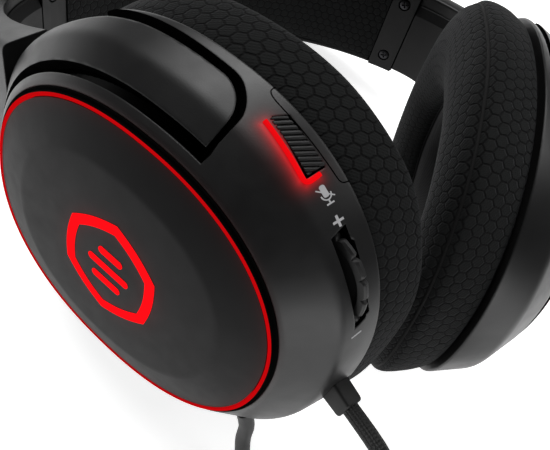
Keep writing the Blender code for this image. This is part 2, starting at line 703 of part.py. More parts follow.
def cable(side):
    tube("cable", smooth_route(cable_route(side), 5.0), CABLE_D, "braid")
    inner, outer = COIL_MEAN - COIL_HALF_WIDTH, COIL_MEAN + COIL_HALF_WIDTH
    rows = ((inner, 2.5), (inner + 2.5, 0.15), (outer - 2.5, 0.15), (outer, 2.5),
            (outer, COIL_HEIGHT - 2.5), (outer - 2.5, COIL_HEIGHT), (inner + 2.5, COIL_HEIGHT),
            (inner, COIL_HEIGHT - 2.5))
    frame = Matrix.Translation(COIL_CENTRE)
    make_object("cable_coil", turned_ring(frame, rows, 40), None, "braid")
    tail_y = COIL_CENTRE.y - COIL_TURN
    tail_x = COIL_CENTRE.x + coil_clearance()
    tail = [(tail_x, tail_y, 2.25), (tail_x + 6.0, tail_y + 1.0, 2.4), (tail_x + 12.0, tail_y + 4.0, 3.4),
            (tail_x + 17.0, tail_y + 8.0, 4.2)]
    route = smooth_route(tail, 5.0)
    tube("cable_tail", route, CABLE_D, "braid")
    heading = route[-1] - route[-2]
    heading.z = 0.0
    heading.normalize()
    rows = Matrix((Vector((0.0, 0.0, 1.0)), Vector((-heading.y, heading.x, 0.0)), heading)).transposed().to_4x4()
    tip = Matrix.Translation(route[-1] + heading * 0.9) @ rows
    body = prism(tip, 4.0, 7.8, 9.0, 31.0)
    make_object("plug_body", body, None, "rubber", smooth=False)
    neck = prism(tip, 2.7, 3.2, 0.0, 8.7, 1.1)
    make_object("plug_strain_relief", neck, None, "rubber", smooth=False)
    sleeve = prism(tip, 2.25, 6.0, 31.3, 43.0)
    sleeve = make_object("plug_sleeve", sleeve, None, "steel", smooth=False)
    boolean(sleeve, make_cutter("cut_sleeve", prism(tip, 1.85, 5.6, 32.0, 44.0), None))
    make_object("plug_tongue", prism(tip @ Matrix.Translation((-0.7, 0, 0)), 0.8, 5.2, 32.3, 41.5),
                None, "dark_plastic", smooth=False)
    cable_tie(inner, outer)


def cable_tie(inner, outer):
    """Strap over one side of the coil: an upright arch that stands on the table."""
    half, top = 3.5, COIL_HEIGHT
    outline = ((inner - 2.2, 0.1), (inner - 1.0, 0.1), (inner - 1.0, top + 0.5), (outer + 0.5, top + 0.5),
               (outer + 0.5, 0.1), (outer + 1.7, 0.1), (outer + 1.7, top + 1.7), (inner - 2.2, top + 1.7))
    rings = [[COIL_CENTRE + Vector((x, y, z)) for x, z in outline] for y in (-half, half)]
    make_object("cable_tie", bridge(bmesh.new(), rings, caps=True), None, "rubber", smooth=False)


# ---------------------------------------------------------------- assembly

def build():
    clear_scene()
    lay = empty("headset_as_worn", matrix=lay_matrix())
    headband(lay)
    for side, word in ((-1, "left"), (1, "right")):
        cup = empty("cup_axis_" + word, lay, cup_matrix(side))
        shell = outer_shell(side, "outer_shell_" + word, cup)
        outer_plate(side, "outer_plate_" + word, cup)
        emblem_lens(side, "emblem_lens_" + word, cup)
        light_ring(side, "light_ring_" + word, cup)
        ear_cushion(side, "ear_cushion_" + word, cup)
        cup_insides(side, word, cup)
        fork_arm(side, word, lay, cup)
        shell_cuts(shell, side, word, cup)
        if word == "left":
            control_cuts(shell, side, cup)
            volume_wheel(side, cup)
            controls(side, cup)
            cable_relief(side, cup)
            microphone(side, cup)
            cable(side)


build()
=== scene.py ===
"""Gaming headset lying on its front edge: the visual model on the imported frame.

Lengths are millimetres in each piece's own frame, turned into metres when its mesh is
made.  Cup pieces use the cup's frame: depth runs inwards from the light ring's plane,
then front and up.  Headband pieces use the frame of the headset as worn (X right,
Y front, Z up).
"""
import json
import math

import bmesh
import bpy
import numpy as np
from mathutils import Matrix, Vector

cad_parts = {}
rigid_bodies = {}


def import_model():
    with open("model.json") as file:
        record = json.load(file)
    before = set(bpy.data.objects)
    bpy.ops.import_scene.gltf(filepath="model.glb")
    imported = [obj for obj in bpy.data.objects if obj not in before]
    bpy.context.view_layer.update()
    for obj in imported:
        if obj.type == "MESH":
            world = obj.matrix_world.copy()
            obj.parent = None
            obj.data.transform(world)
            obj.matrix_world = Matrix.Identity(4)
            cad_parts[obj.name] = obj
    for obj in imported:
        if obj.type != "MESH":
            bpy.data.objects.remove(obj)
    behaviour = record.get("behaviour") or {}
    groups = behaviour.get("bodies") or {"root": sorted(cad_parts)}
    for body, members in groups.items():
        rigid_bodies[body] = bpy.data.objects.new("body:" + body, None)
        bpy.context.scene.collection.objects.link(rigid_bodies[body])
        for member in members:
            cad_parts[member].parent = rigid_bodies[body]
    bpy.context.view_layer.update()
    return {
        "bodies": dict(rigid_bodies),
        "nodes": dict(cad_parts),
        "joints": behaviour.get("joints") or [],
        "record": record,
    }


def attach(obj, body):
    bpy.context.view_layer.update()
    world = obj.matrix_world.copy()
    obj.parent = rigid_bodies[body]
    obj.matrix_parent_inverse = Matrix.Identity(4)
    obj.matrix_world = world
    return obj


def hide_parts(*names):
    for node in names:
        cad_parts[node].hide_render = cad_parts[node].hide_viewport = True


MM = 0.001
RAD = math.radians
SIDES = ((-1, "left"), (1, "right"))

# Pose on the table and the cups' lean
LAY = Matrix.Translation(Vector((0.0, 7.947, 58.722)) * MM) @ Matrix.Rotation(RAD(-109.3), 4, "X")
CUP_X, CUP_TILT, CUP_YAW = 59.7, RAD(31.7), RAD(5.0)
PIVOT_DEPTH, PIVOT_UP = 11.0, -3.0
SQUARENESS, CUP_SEGMENTS = 2.2, 192
RING_UP, RING_FRONT, RING_HALF = 42.0, 35.7, 0.8
CREASE = 0.74   # where the plate's dome ends, as a share of its radius

# Skins: depth, up radius, front radius, centre height
SKIN = ((0.6, 43.1, 36.8, 0.0), (1.1, 44.0, 37.7, 0.0),
        (8.7, 52.2, 45.3, 0.0), (18.4, 52.5, 50.3, -2.4))
FORK_SKIN = ((4.2, 47.34, 40.8, 0.0), (8.7, 52.2, 45.3, 0.0),
             (18.0, 53.6, 50.0, 0.0), (24.0, 54.8, 52.6, 0.0))
FORK_THICK, FORK_START = 3.6, 4.2

# Headband as worn
BAND_CENTRE_Z, BAND_X, BAND_Z = 23.0, 94.0, 91.0
BAND_WIDTH = 33.6
PAD_END, BAND_END = RAD(38.6), RAD(44.5)
SCREW_Y = 11.0

# Left cup's controls: angle from the top towards the front (negative is the rear), depth
WHEEL_ANGLE, WHEEL_DEPTH = RAD(-145.0), 13.05
WHEEL_RADIUS, WHEEL_SINK, WHEEL_THICK = 14.0, 12.0, 2.3
SLOT_LENGTH, SLOT_WIDTH = 21.0, 3.2
MUTE_ANGLE, MUTE_DEPTH = RAD(-110.2), 14.3
MUTE_LENGTH, MUTE_WIDTH, MUTE_TAPER = 12.8, 4.0, 1.3
RELIEF_ANGLE, RELIEF_DEPTH = RAD(176.5), 15.2
MIC_ANGLE, MIC_DEPTH = RAD(134.6), 13.2

CABLE_D, BOOM_D = 4.1, 4.5
CELL = 2.9   # width of the mesh's honeycomb cells
COIL_CENTRE = Vector((28.0, -108.0, 0.0))
COIL_COLUMNS = (26.6, 22.45, 18.3)
COIL_LAYERS = (14.7, 10.55, 6.4, 2.25)


# ---------------------------------------------------------------- frames

def framed(origin, *axes):
    """Frame at an origin, with its three axes as columns."""
    return Matrix.Translation(origin) @ Matrix(axes).transposed().to_4x4()


def cup_matrix(side):
    """Cup's frame in the table's, in metres."""
    turn = Matrix.Rotation(-side * CUP_YAW, 4, "Z") @ Matrix.Rotation(side * CUP_TILT, 4, "Y")
    pivot = turn @ Vector((-side * PIVOT_DEPTH, 0.0, PIVOT_UP))
    return LAY @ Matrix.Translation((pivot + Vector((side * CUP_X, 0.0, 0.0))) * MM) @ turn


def cup_point(side, depth, front, up):
    """Point of a cup in its frame, in millimetres."""
    return Vector((side * (PIVOT_DEPTH - depth), front, up - PIVOT_UP))


def world_mm(side, point):
    """A cup-frame point in world millimetres."""
    return (cup_matrix(side) @ (point * MM)) / MM


def squircle(angle, up, front):
    """Front and up on the cup's rounded outline, with the angle from the top."""
    power = 2.0 / SQUARENESS
    cosine, sine = math.cos(angle), math.sin(angle)
    return (math.copysign(abs(sine) ** power, sine) * front,
            math.copysign(abs(cosine) ** power, cosine) * up)


def cup_ring(side, depth, up, front, centre=0.0, segments=CUP_SEGMENTS):
    """Closed outline of a cup at one depth."""
    ring = []
    for i in range(segments):
        y, z = squircle(2 * math.pi * (i + 0.5) / segments, up, front)
        ring.append(cup_point(side, depth, y, z + centre))
    return ring


def read_skin(skin, depth):
    for near, far in zip(skin, skin[1:]):
        if depth <= far[0] or far is skin[-1]:
            share = (depth - near[0]) / (far[0] - near[0])
            return [a + (b - a) * share for a, b in zip(near[1:], far[1:])]


def skin_point(side, angle, depth, skin=SKIN, lift=0.0):
    up, front, centre = read_skin(skin, depth)
    y, z = squircle(angle, up + lift, front + lift)
    return cup_point(side, depth, y, z + centre)


def wall_frame(side, angle, depth):
    """Frame on the side wall: X along the rim, Y deeper, Z out of the wall."""
    step = 0.01
    origin = skin_point(side, angle, depth)
    along = (skin_point(side, angle + step, depth) - skin_point(side, angle - step, depth)).normalized()
    deeper = (skin_point(side, angle, depth + 1.0) - skin_point(side, angle, depth - 1.0)).normalized()
    normal = along.cross(deeper).normalized()
    if normal.dot(Vector((0.0, origin.y, origin.z))) < 0:
        normal = -normal
    deeper = (deeper - normal * deeper.dot(normal)).normalized()
    along = (along - deeper * along.dot(deeper)).normalized()
    return framed(origin, along, deeper, normal)


def wall_spot(side, angle, depth, x, y, height):
    """Point on the curved wall, x along the rim and y deeper from a spot, raised by height."""
    step = 0.01
    pace = (skin_point(side, angle + step, depth) - skin_point(side, angle - step, depth)).length
    frame = wall_frame(side, angle + x * 2 * step / pace, depth + y)
    return frame.translation + frame.col[2].to_3d() * height


def arch_point(side, angle, offset, y):
    """Point at an angle from the band's top, outwards by an offset from the pad's face."""
    return Vector((side * (BAND_X + offset) * math.sin(angle), y,
                   BAND_CENTRE_Z + (BAND_Z + offset) * math.cos(angle)))


def soften(rows, cuts, steps=5):
    """Replace corners of a polyline by curves; cuts maps a corner's index to its setback."""
    result = []
    for i, row in enumerate(rows):
        if i not in cuts:
            result.append(tuple(row))
            continue
        before, here, after = (np.array(rows[j % len(rows)], float) for j in (i - 1, i, i + 1))
        start = here + (before - here) * min(0.5, cuts[i] / np.linalg.norm((before - here)[:2]))
        end = here + (after - here) * min(0.5, cuts[i] / np.linalg.norm((after - here)[:2]))
        for k in range(steps + 1):
            t = k / steps
            result.append(tuple(start * (1 - t) ** 2 + here * 2 * t * (1 - t) + end * t * t))
    return result


def spline(points, count, loop=False):
    """Catmull-Rom curve through tuples, count samples for each span."""
    rows = [np.array(p, float) for p in points]
    size = len(rows)
    spans = size if loop else size - 1
    result = []
    for i in range(spans):
        if loop:
            a, b, c, d = (rows[(i + k) % size] for k in (-1, 0, 1, 2))
        else:
            a, b, c, d = (rows[min(max(i + k, 0), size - 1)] for k in (-1, 0, 1, 2))
        for k in range(count):
            t = k / count
            result.append(0.5 * (2 * b + (c - a) * t + (2 * a - 5 * b + 4 * c - d) * t * t
                                 + (3 * b - a - 3 * c + d) * t ** 3))
    if not loop:
        result.append(rows[-1])
    return result


# ---------------------------------------------------------------- mesh tools

def finish_mesh(name, verts, faces, place, material, body, sharp=34.0, corners=None):
    """Make an object from millimetres in a frame, with optional corner coordinates in millimetres."""
    mesh = bpy.data.meshes.new(name)
    mesh.from_pydata([tuple(place @ (Vector(v) * MM)) for v in verts], [], faces)
    if corners:
        layer = mesh.uv_layers.new(name="UVMap")
        flat = [coordinate for face in corners for corner in face for coordinate in corner]
        layer.data.foreach_set("uv", flat)
    tidy = bmesh.new()
    tidy.from_mesh(mesh)
    bmesh.ops.recalc_face_normals(tidy, faces=tidy.faces)
    tidy.to_mesh(mesh)
    tidy.free()
    shade(mesh, sharp)
    obj = bpy.data.objects.new(name, mesh)
    bpy.context.scene.collection.objects.link(obj)
    if material:
        mesh.materials.append(material)
    if body:
        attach(obj, body)
    return obj


def shade(mesh, sharp):
    mesh.shade_smooth()
    mesh.set_sharp_from_angle(angle=RAD(sharp))


def loft(name, rings, place, material, body, wrap=False, caps=False, measure=None, sharp=34.0):
    """Skin closed rings; measure gives corner coordinates from (column, row)."""
    rows, count = len(rings), len(rings[0])
    verts = [point for ring in rings for point in ring]
    faces, corners = [], []
    for r in range(rows if wrap else rows - 1):
        q = (r + 1) % rows
        for i in range(count):
            j = (i + 1) % count
            faces.append((r * count + i, r * count + j, q * count + j, q * count + i))
            if measure:
                corners.append([measure(i, r), measure(i + 1, r), measure(i + 1, r + 1), measure(i, r + 1)])
    if caps:
        faces.append(tuple(range(count))[::-1])
        faces.append(tuple(range((rows - 1) * count, rows * count)))
        if measure:
            corners += [[(0.0, 0.0)] * count] * 2
    return finish_mesh(name, verts, faces, place, material, body, sharp, corners)


def grid(name, rows, place, material, body, sharp=34.0):
    """Open sheet of points, for a printed mark or a shallow relief."""
    height, width = len(rows), len(rows[0])
    verts = [point for row in rows for point in row]
    faces = [(r * width + i, r * width + i + 1, (r + 1) * width + i + 1, (r + 1) * width + i)
             for r in range(height - 1) for i in range(width - 1)]
    return finish_mesh(name, verts, faces, place, material, body, sharp)


def sweep(name, route, radius, place, material, body, sides=12, loop=False):
    """Round tube along points; its coordinates run round it and along it in millimetres."""
    points = [Vector(p) for p in route]
    size = len(points)
    rings, lengths, walked = [], [], 0.0
    normal = None
    for i, point in enumerate(points):
        if loop:
            tangent = (points[(i + 1) % size] - points[i - 1]).normalized()
        else:
            tangent = (points[min(i + 1, size - 1)] - points[max(i - 1, 0)]).normalized()
        if normal is None:
            normal = tangent.orthogonal().normalized()
        normal = (normal - tangent * normal.dot(tangent)).normalized()
        across = tangent.cross(normal)
        rings.append([point + (normal * math.cos(2 * math.pi * k / sides)
                               + across * math.sin(2 * math.pi * k / sides)) * radius
                      for k in range(sides)])
        if i:
            walked += (point - points[i - 1]).length
        lengths.append(walked)
    girth = 2 * math.pi * radius
    lengths.append(walked)

    def measure(column, row):
        return (girth * column / sides, lengths[row])
    return loft(name, rings, place, material, body, wrap=loop, caps=not loop, measure=measure)


def turned(name, frame, profile, place, material, body, segments=48):
    """Solid of revolution about a frame's Z axis from (radius, height) pairs."""
    rings = []
    for radius, height in profile:
        rings.append([frame @ Vector((radius * math.cos(2 * math.pi * i / segments),
                                      radius * math.sin(2 * math.pi * i / segments), height))
                      for i in range(segments)])
    return loft(name, rings, place, material, body, caps=True)


def block(name, frame, half_x, half_y, low, high, place, material, body, edge=0.0):
    """Box in a local frame with its edges rounded by edge."""
    outline = ((-half_x, -half_y), (half_x, -half_y), (half_x, half_y), (-half_x, half_y))
    rings = [[frame @ Vector((x, y, z)) for x, y in outline] for z in (low, high)]
    obj = loft(name, rings, place, material, body, caps=True)
    if edge:
        round_edges(obj, edge)
    return obj


def round_edges(obj, width, segments=3, limit=35.0):
    change = obj.modifiers.new("rounded", "BEVEL")
    change.width = width * MM
    change.segments = segments
    change.limit_method = "ANGLE"
    change.angle_limit = RAD(limit)
    change.harden_normals = True


def cut(obj, cutter):
    """Take the cutter away from an object; the new faces take the cutter's material."""
    change = obj.modifiers.new("cut", "BOOLEAN")
    change.operation = "DIFFERENCE"
    change.solver = "EXACT"
    change.object = cutter
    if cutter.data.materials:
        change.material_mode = "TRANSFER"


def settle(obj, *cutters, sharp=34.0):
    """Apply an object's modifiers and remove the pieces that cut it."""
    bpy.context.view_layer.update()
    graph = bpy.context.evaluated_depsgraph_get()
    mesh = bpy.data.meshes.new_from_object(obj.evaluated_get(graph))
    obj.modifiers.clear()
    obj.data = mesh
    shade(mesh, sharp)
    for cutter in cutters:
        bpy.data.objects.remove(cutter, do_unlink=True)


# ---------------------------------------------------------------- shader tools

class Shader:
    """Short way to write a node material."""

    def __init__(self, name, colour, roughness, specular=0.5, metallic=0.0):
        self.material = bpy.data.materials.new(name)
        self.material.use_nodes = True
        self.tree = self.material.node_tree
        self.surface = self.tree.nodes["Principled BSDF"]
        self.place = self.tree.nodes.new("ShaderNodeTexCoord")
        self.set("Base Color", (*colour, 1.0))
        self.set("Roughness", roughness)
        self.set("Specular IOR Level", specular)
        self.set("Metallic", metallic)

    def set(self, socket, value):
        if isinstance(value, bpy.types.NodeSocket):
            self.tree.links.new(value, self.surface.inputs[socket])
        else:
            self.surface.inputs[socket].default_value = value

    def node(self, kind, **settings):
        made = self.tree.nodes.new(kind)
        for key, value in settings.items():
            setattr(made, key, value)
        return made

    def fill(self, node, *values):
        for socket, value in zip(node.inputs, values):
            if isinstance(value, bpy.types.NodeSocket):
                self.tree.links.new(value, socket)
            elif value is not None:
                socket.default_value = value
        return node

    def math(self, operation, *values):
        return self.fill(self.node("ShaderNodeMath", operation=operation), *values).outputs[0]

    def vector(self, operation, *values):
        made = self.fill(self.node("ShaderNodeVectorMath", operation=operation), *values)
        number = operation in ("DOT_PRODUCT", "LENGTH", "DISTANCE")
        return made.outputs["Value" if number else "Vector"]

    def split(self, vector):
        made = self.fill(self.node("ShaderNodeSeparateXYZ"), vector)
        return made.outputs

    def noise(self, scale, detail=3.0, where=None):
        made = self.node("ShaderNodeTexNoise")
        self.tree.links.new(where or self.place.outputs["Object"], made.inputs["Vector"])
        made.inputs["Scale"].default_value = scale
        made.inputs["Detail"].default_value = detail
        return made.outputs["Fac"]

    def scaled(self, value, low, high):
        """Turn 0 to 1 into low to high."""
        return self.math("MULTIPLY_ADD", value, high - low, low)

    def mix(self, factor, first, second):
        made = self.node("ShaderNodeMix", data_type="RGBA")
        self.fill(made, factor)
        for socket, value in ((made.inputs[6], first), (made.inputs[7], second)):
            if isinstance(value, bpy.types.NodeSocket):
                self.tree.links.new(value, socket)
            else:
                socket.default_value = (*value, 1.0)
        return made.outputs[2]

    def bump(self, height, distance, strength=1.0, under=None):
        made = self.node("ShaderNodeBump")
        made.inputs["Strength"].default_value = strength
        made.inputs["Distance"].default_value = distance
        self.tree.links.new(height, made.inputs["Height"])
        if under is not None:
            self.tree.links.new(under, made.inputs["Normal"])
        self.set("Normal", made.outputs[0])
        return made.outputs[0]


def plastic(name, colour, roughness, specular=0.5, grain=0.35, bump=0.02, edge=0.0):
    """Moulded plastic: fine spark-eroded grain, slight mottling, softened edges."""
    shader = Shader(name, colour, roughness, specular)
    mottle = shader.noise(70.0, 4.0)
    dark, light = (tuple(c * share for c in colour) for share in (0.82, 1.18))
    shader.set("Base Color", shader.mix(mottle, dark, light))
    shader.set("Roughness", shader.scaled(shader.noise(240.0, 3.0), roughness - 0.07, roughness + 0.07))
    under = None
    if edge:
        rounded = shader.node("ShaderNodeBevel", samples=4)
        rounded.inputs["Radius"].default_value = edge * MM
        under = rounded.outputs[0]
    shader.bump(shader.noise(1.0 / (grain * MM), 2.0), bump * MM, 0.6, under)
    return shader


def fading(shader, distance, reach):
    """Falls from 1 with a distance in metres, over a reach in millimetres."""
    return shader.math("EXPONENT", shader.math("MULTIPLY", distance, -1.0 / (reach * MM)))


def oval_share(shader, value, radius):
    """One axis of the ring's outline: how far a length in metres reaches along a radius in millimetres."""
    share = shader.math("ABSOLUTE", shader.math("DIVIDE", value, radius * MM))
    return shader.math("POWER", share, SQUARENESS)


def cup_axes(shader, side):
    """The shaded point in the cup's frame, in metres."""
    spot = shader.place.outputs["Object"]
    rows = cup_matrix(side).inverted()[:3]
    return [shader.math("ADD", shader.vector("DOT_PRODUCT", spot, tuple(row[:3])), row[3]) for row in rows]


def ring_glow(shader, side, strength, reach):
    """Red light that spills off the ring: it fades with the distance from the ring's line."""
    lip, sink_reach = 0.8, 0.7
    x, y, z = cup_axes(shader, side)
    across = oval_share(shader, y, RING_FRONT)
    tall = oval_share(shader, shader.math("ADD", z, PIVOT_UP * MM), RING_UP)
    share = shader.math("POWER", shader.math("ADD", across, tall), 1.0 / SQUARENESS)
    away = shader.math("ABSOLUTE", shader.math("SUBTRACT", share, 1.0))
    fade = shader.math("EXPONENT", shader.math("MULTIPLY", away, -RING_UP / reach))
    depth = shader.math("SUBTRACT", PIVOT_DEPTH * MM, shader.math("ABSOLUTE", x))
    beyond = shader.math("MAXIMUM", shader.math("SUBTRACT", depth, lip * MM), 0.0)
    sink = fading(shader, beyond, sink_reach)
    return shader.math("MULTIPLY", shader.math("MULTIPLY", fade, sink), strength)


def disc_glow(shader, side, radius, strength, reach):
    """Red light round the emblem's outline, which has about this radius."""
    y, z = cup_axes(shader, side)[1:]
    flat = shader.node("ShaderNodeCombineXYZ")
    shader.fill(flat, 0.0, y, shader.math("ADD", z, PIVOT_UP * MM))
    away = shader.math("SUBTRACT", shader.vector("LENGTH", flat.outputs[0]), radius * MM)
    fade = fading(shader, shader.math("ABSOLUTE", away), reach)
    return shader.math("MULTIPLY", fade, strength)


def box_glow(shader, frame, half, strength, reach):
    """Red light round a bar on the left cup, given its frame and half sizes in millimetres."""
    parts = []
    place = cup_matrix(-1)
    origin = place @ (frame.translation * MM)
    for column, size in zip((place.to_3x3() @ frame.to_3x3()).transposed(), half):
        along = shader.vector("DOT_PRODUCT", shader.place.outputs["Object"], tuple(column))
        along = shader.math("SUBTRACT", along, column.dot(origin))
        beyond = shader.math("SUBTRACT", shader.math("ABSOLUTE", along), size * MM)
        parts.append(shader.math("MAXIMUM", beyond, 0.0))
    joined = shader.node("ShaderNodeCombineXYZ")
    shader.fill(joined, *parts)
    fade = fading(shader, shader.vector("LENGTH", joined.outputs[0]), reach)
    return shader.math("MULTIPLY", fade, strength)


def light_up(shader, *glows):
    """Let a material glow red with the sum of some strengths."""
    total = glows[0]
    for glow in glows[1:]:
        total = shader.math("ADD", total, glow)
    shader.set("Emission Color", (1.0, 0.006, 0.012, 1.0))
    shader.set("Emission Strength", total)


def hexagons(shader, where, size):
    """Distance from the nearest cell border, in cells, on a honeycomb of that size in millimetres."""
    root = math.sqrt(3.0)
    spot = shader.vector("MULTIPLY", where, (1.0 / size, 1.0 / size, 0.0))

    def cell(shift):
        moved = shader.vector("ADD", spot, shift)
        wrapped = shader.node("ShaderNodeVectorMath", operation="WRAP")
        shader.fill(wrapped, moved, (0.5, root / 2, 0.5), (-0.5, -root / 2, -0.5))
        return wrapped.outputs[0]
    first, second = cell((0.0, 0.0, 0.0)), cell((0.5, root / 2, 0.0))
    nearer = shader.math("LESS_THAN", shader.vector("LENGTH", first), shader.vector("LENGTH", second))
    pick = shader.node("ShaderNodeMix", data_type="VECTOR")
    shader.fill(pick, nearer)
    shader.tree.links.new(second, pick.inputs[4])
    shader.tree.links.new(first, pick.inputs[5])
    spot = shader.vector("ABSOLUTE", pick.outputs[1])
    slant = shader.vector("DOT_PRODUCT", spot, (0.5, root / 2, 0.0))
    x = shader.split(spot)[0]
    return shader.math("SUBTRACT", 0.5, shader.math("MAXIMUM", x, slant))


def mesh_fabric(name, cell_colour, line_colour):
    """Sports mesh: honeycomb cells with sunk borders and fine slanting threads."""
    shader = Shader(name, cell_colour, 0.86, 0.12)
    where = shader.place.outputs["UV"]
    bend = shader.noise(260.0, 2.0)
    shifted = shader.vector("ADD", where, shader.fill(shader.node("ShaderNodeCombineXYZ"),
                                                      shader.scaled(bend, -0.35, 0.35),
                                                      shader.scaled(bend, 0.3, -0.3)).outputs[0])
    border = hexagons(shader, shifted, CELL)
    spread = shader.fill(shader.node("ShaderNodeMapRange", interpolation_type="SMOOTHSTEP"),
                         border, 0.02, 0.13, 0.0, 1.0).outputs[0]
    thread, cross = (shader.math("SINE", shader.vector("DOT_PRODUCT", where, way))
                     for way in ((6.2, 7.9, 0.0), (7.0, -5.0, 0.0)))
    knit = shader.math("MULTIPLY", thread, shader.scaled(cross, 0.55, 0.95))
    tone = shader.noise(900.0, 3.0)
    light = tuple(c * 1.5 for c in cell_colour)
    cloth = shader.mix(shader.math("MULTIPLY_ADD", knit, 0.22, tone), cell_colour, light)
    shader.set("Base Color", shader.mix(spread, line_colour, cloth))
    height = shader.math("ADD", shader.math("MULTIPLY", spread, 1.0), shader.math("MULTIPLY", knit, 0.16))
    shader.bump(height, 0.28 * MM, 0.8)
    shader.set("Sheen Weight", 0.05)
    shader.set("Sheen Roughness", 0.5)
    shader.set("Sheen Tint", (0.55, 0.56, 0.6, 1.0))
    return shader.material


def braid(name, colour, pitch=1.35):
    """Braided sleeve: two families of slanting strands."""
    shader = Shader(name, colour, 0.6, 0.4)
    where = shader.place.outputs["UV"]
    waves = []
    for slope in (1.0, -1.0):
        way = (2 * math.pi / pitch, slope * 2 * math.pi / pitch * 0.8, 0.0)
        waves.append(shader.math("SINE", shader.vector("DOT_PRODUCT", where, way)))
    over = shader.math("MULTIPLY", waves[0], waves[1])
    rise = shader.scaled(over, 0.5, 1.0)
    dark, light = (tuple(c * share for c in colour) for share in (0.35, 1.7))
    shader.set("Base Color", shader.mix(rise, dark, light))
    shader.bump(rise, 0.3 * MM, 0.9)
    return shader.material


def cloth(name, colour, pitch=0.6):
    """Plain tight cloth with a square weave in the object's own space."""
    shader = Shader(name, colour, 0.8, 0.3)
    step = 2 * math.pi / (pitch * MM)
    y, z = (shader.math("SINE", shader.math("MULTIPLY", axis, step))
            for axis in shader.split(shader.place.outputs["Object"])[1:])
    over = shader.math("MULTIPLY", y, z)
    dark, light = (tuple(c * share for c in colour) for share in (0.6, 1.3))
    shader.set("Base Color", shader.mix(shader.scaled(over, 0.5, 1.0), dark, light))
    shader.bump(over, 0.08 * MM, 0.6)
    shader.set("Sheen Weight", 0.3)
    return shader.material


def metal(name, colour, roughness):
    """Plated steel with fine drawn lines."""
    stretch = 40.0
    shader = Shader(name, colour, roughness, 0.5, 1.0)
    moved = shader.vector("MULTIPLY", shader.place.outputs["Object"], (1.0, stretch, stretch))
    lines = shader.noise(60.0, 3.0, moved)
    shader.set("Roughness", shader.scaled(lines, roughness - 0.08, roughness + 0.1))
    shader.bump(lines, 0.01 * MM, 0.4)
    return shader.material


def lamp(name, strength):
    """Lit light guide: slightly uneven along its length."""
    shader = Shader(name, (0.2, 0.001, 0.001), 0.6, 0.0)
    shader.set("Emission Color", (1.0, 0.004, 0.008, 1.0))
    shader.set("Emission Strength", shader.scaled(shader.noise(45.0, 2.0), strength * 0.9, strength * 1.1))
    return shader.material


def make_materials():
    """Every material by its short name; the glow falls round the mute bar's long run and its hook."""
    wall = wall_frame(-1, MUTE_ANGLE, MUTE_DEPTH)
    left = wall @ Matrix.Translation((0.0, -MUTE_WIDTH / 2 - 0.95, 0.0))
    hook = wall @ Matrix.Translation((-MUTE_LENGTH / 2 - 0.6, -1.4, 0.0))
    charcoal = (0.0065, 0.0065, 0.0067)
    shell = plastic("shell_plastic", charcoal, 0.40, 0.38, edge=0.5)
    far_shell = plastic("far_shell_plastic", charcoal, 0.40, 0.38, edge=0.5)
    light_up(shell, ring_glow(shell, -1, 0.02, 1.0), box_glow(shell, left, (6.2, 0.5, 0.5), 0.45, 0.8),
             box_glow(shell, hook, (0.6, 1.4, 0.5), 0.35, 0.7))
    light_up(far_shell, ring_glow(far_shell, 1, 0.02, 1.0))
    plates = {}
    for side, word in SIDES:
        plate = plastic("plate_plastic_" + word, (0.0045, 0.0045, 0.0047), 0.5, 0.10, grain=0.3, bump=0.01)
        light_up(plate, ring_glow(plate, side, 0.04, 1.2), disc_glow(plate, side, 12.4, 0.06, 1.5))
        plates["plate_" + word] = plate.material
    return plates | {
        "shell": shell.material, "far_shell": far_shell.material,
        "arm": plastic("arm_plastic", charcoal, 0.40, 0.32, edge=0.5).material,
        "inner_arm": plastic("inner_arm_plastic", (0.0060, 0.0060, 0.0062), 0.5, 0.2).material,
        "dark": plastic("dark_plastic", (0.0035, 0.0035, 0.0037), 0.5, 0.25, edge=0.15).material,
        # Near-black for the walls of recesses and openings, the ring's groove and the joints: painted shade.
        "gap": plastic("painted_shade_plastic", (0.0008, 0.0008, 0.0008), 0.9, 0.02).material,
        "wheel": plastic("wheel_rubber", (0.006, 0.006, 0.0062), 0.5, 0.4, edge=0.15).material,
        "rubber": plastic("moulded_rubber", (0.003, 0.003, 0.003), 0.62, 0.4, grain=0.2).material,
        "boom": plastic("boom_rubber", (0.013, 0.013, 0.0135), 0.55, 0.4, grain=0.2).material,
        "light": lamp("red_light", 0.4), "bar": lamp("bar_light", 0.7),
        "emblem": lamp("emblem_light", 1.1),
        "mesh": mesh_fabric("hexagon_mesh", (0.0058, 0.0062, 0.0061), (0.0016, 0.0016, 0.0016)),
        # Lining: partly its own grey, partly painted light, lifted to stand in for light on the ear hole's
        # far wall.
        "lining": cloth("lining_cloth_painted_light", (0.04, 0.04, 0.041)),
        "hem": cloth("hem_cloth", (0.009, 0.009, 0.009), 0.8),
        "screen": cloth("speaker_cloth", (0.008, 0.008, 0.008), 1.2),
        "seam": plastic("seam_thread", (0.004, 0.004, 0.004), 0.8, 0.2).material,
        "icon": plastic("printed_icon", (0.42, 0.42, 0.43), 0.6, 0.3).material,
        "steel": metal("plated_steel", (0.42, 0.42, 0.44), 0.3),
        "black_steel": metal("black_steel", (0.03, 0.03, 0.032), 0.35),
        "board": plastic("circuit_board", (0.01, 0.08, 0.035), 0.45).material,
        "braid": braid("braided_sleeve", (0.006, 0.006, 0.006)),
        "foam": plastic("open_foam", (0.010, 0.010, 0.010), 0.95, 0.1, grain=0.9, bump=0.5).material,
    }


# ---------------------------------------------------------------- cups

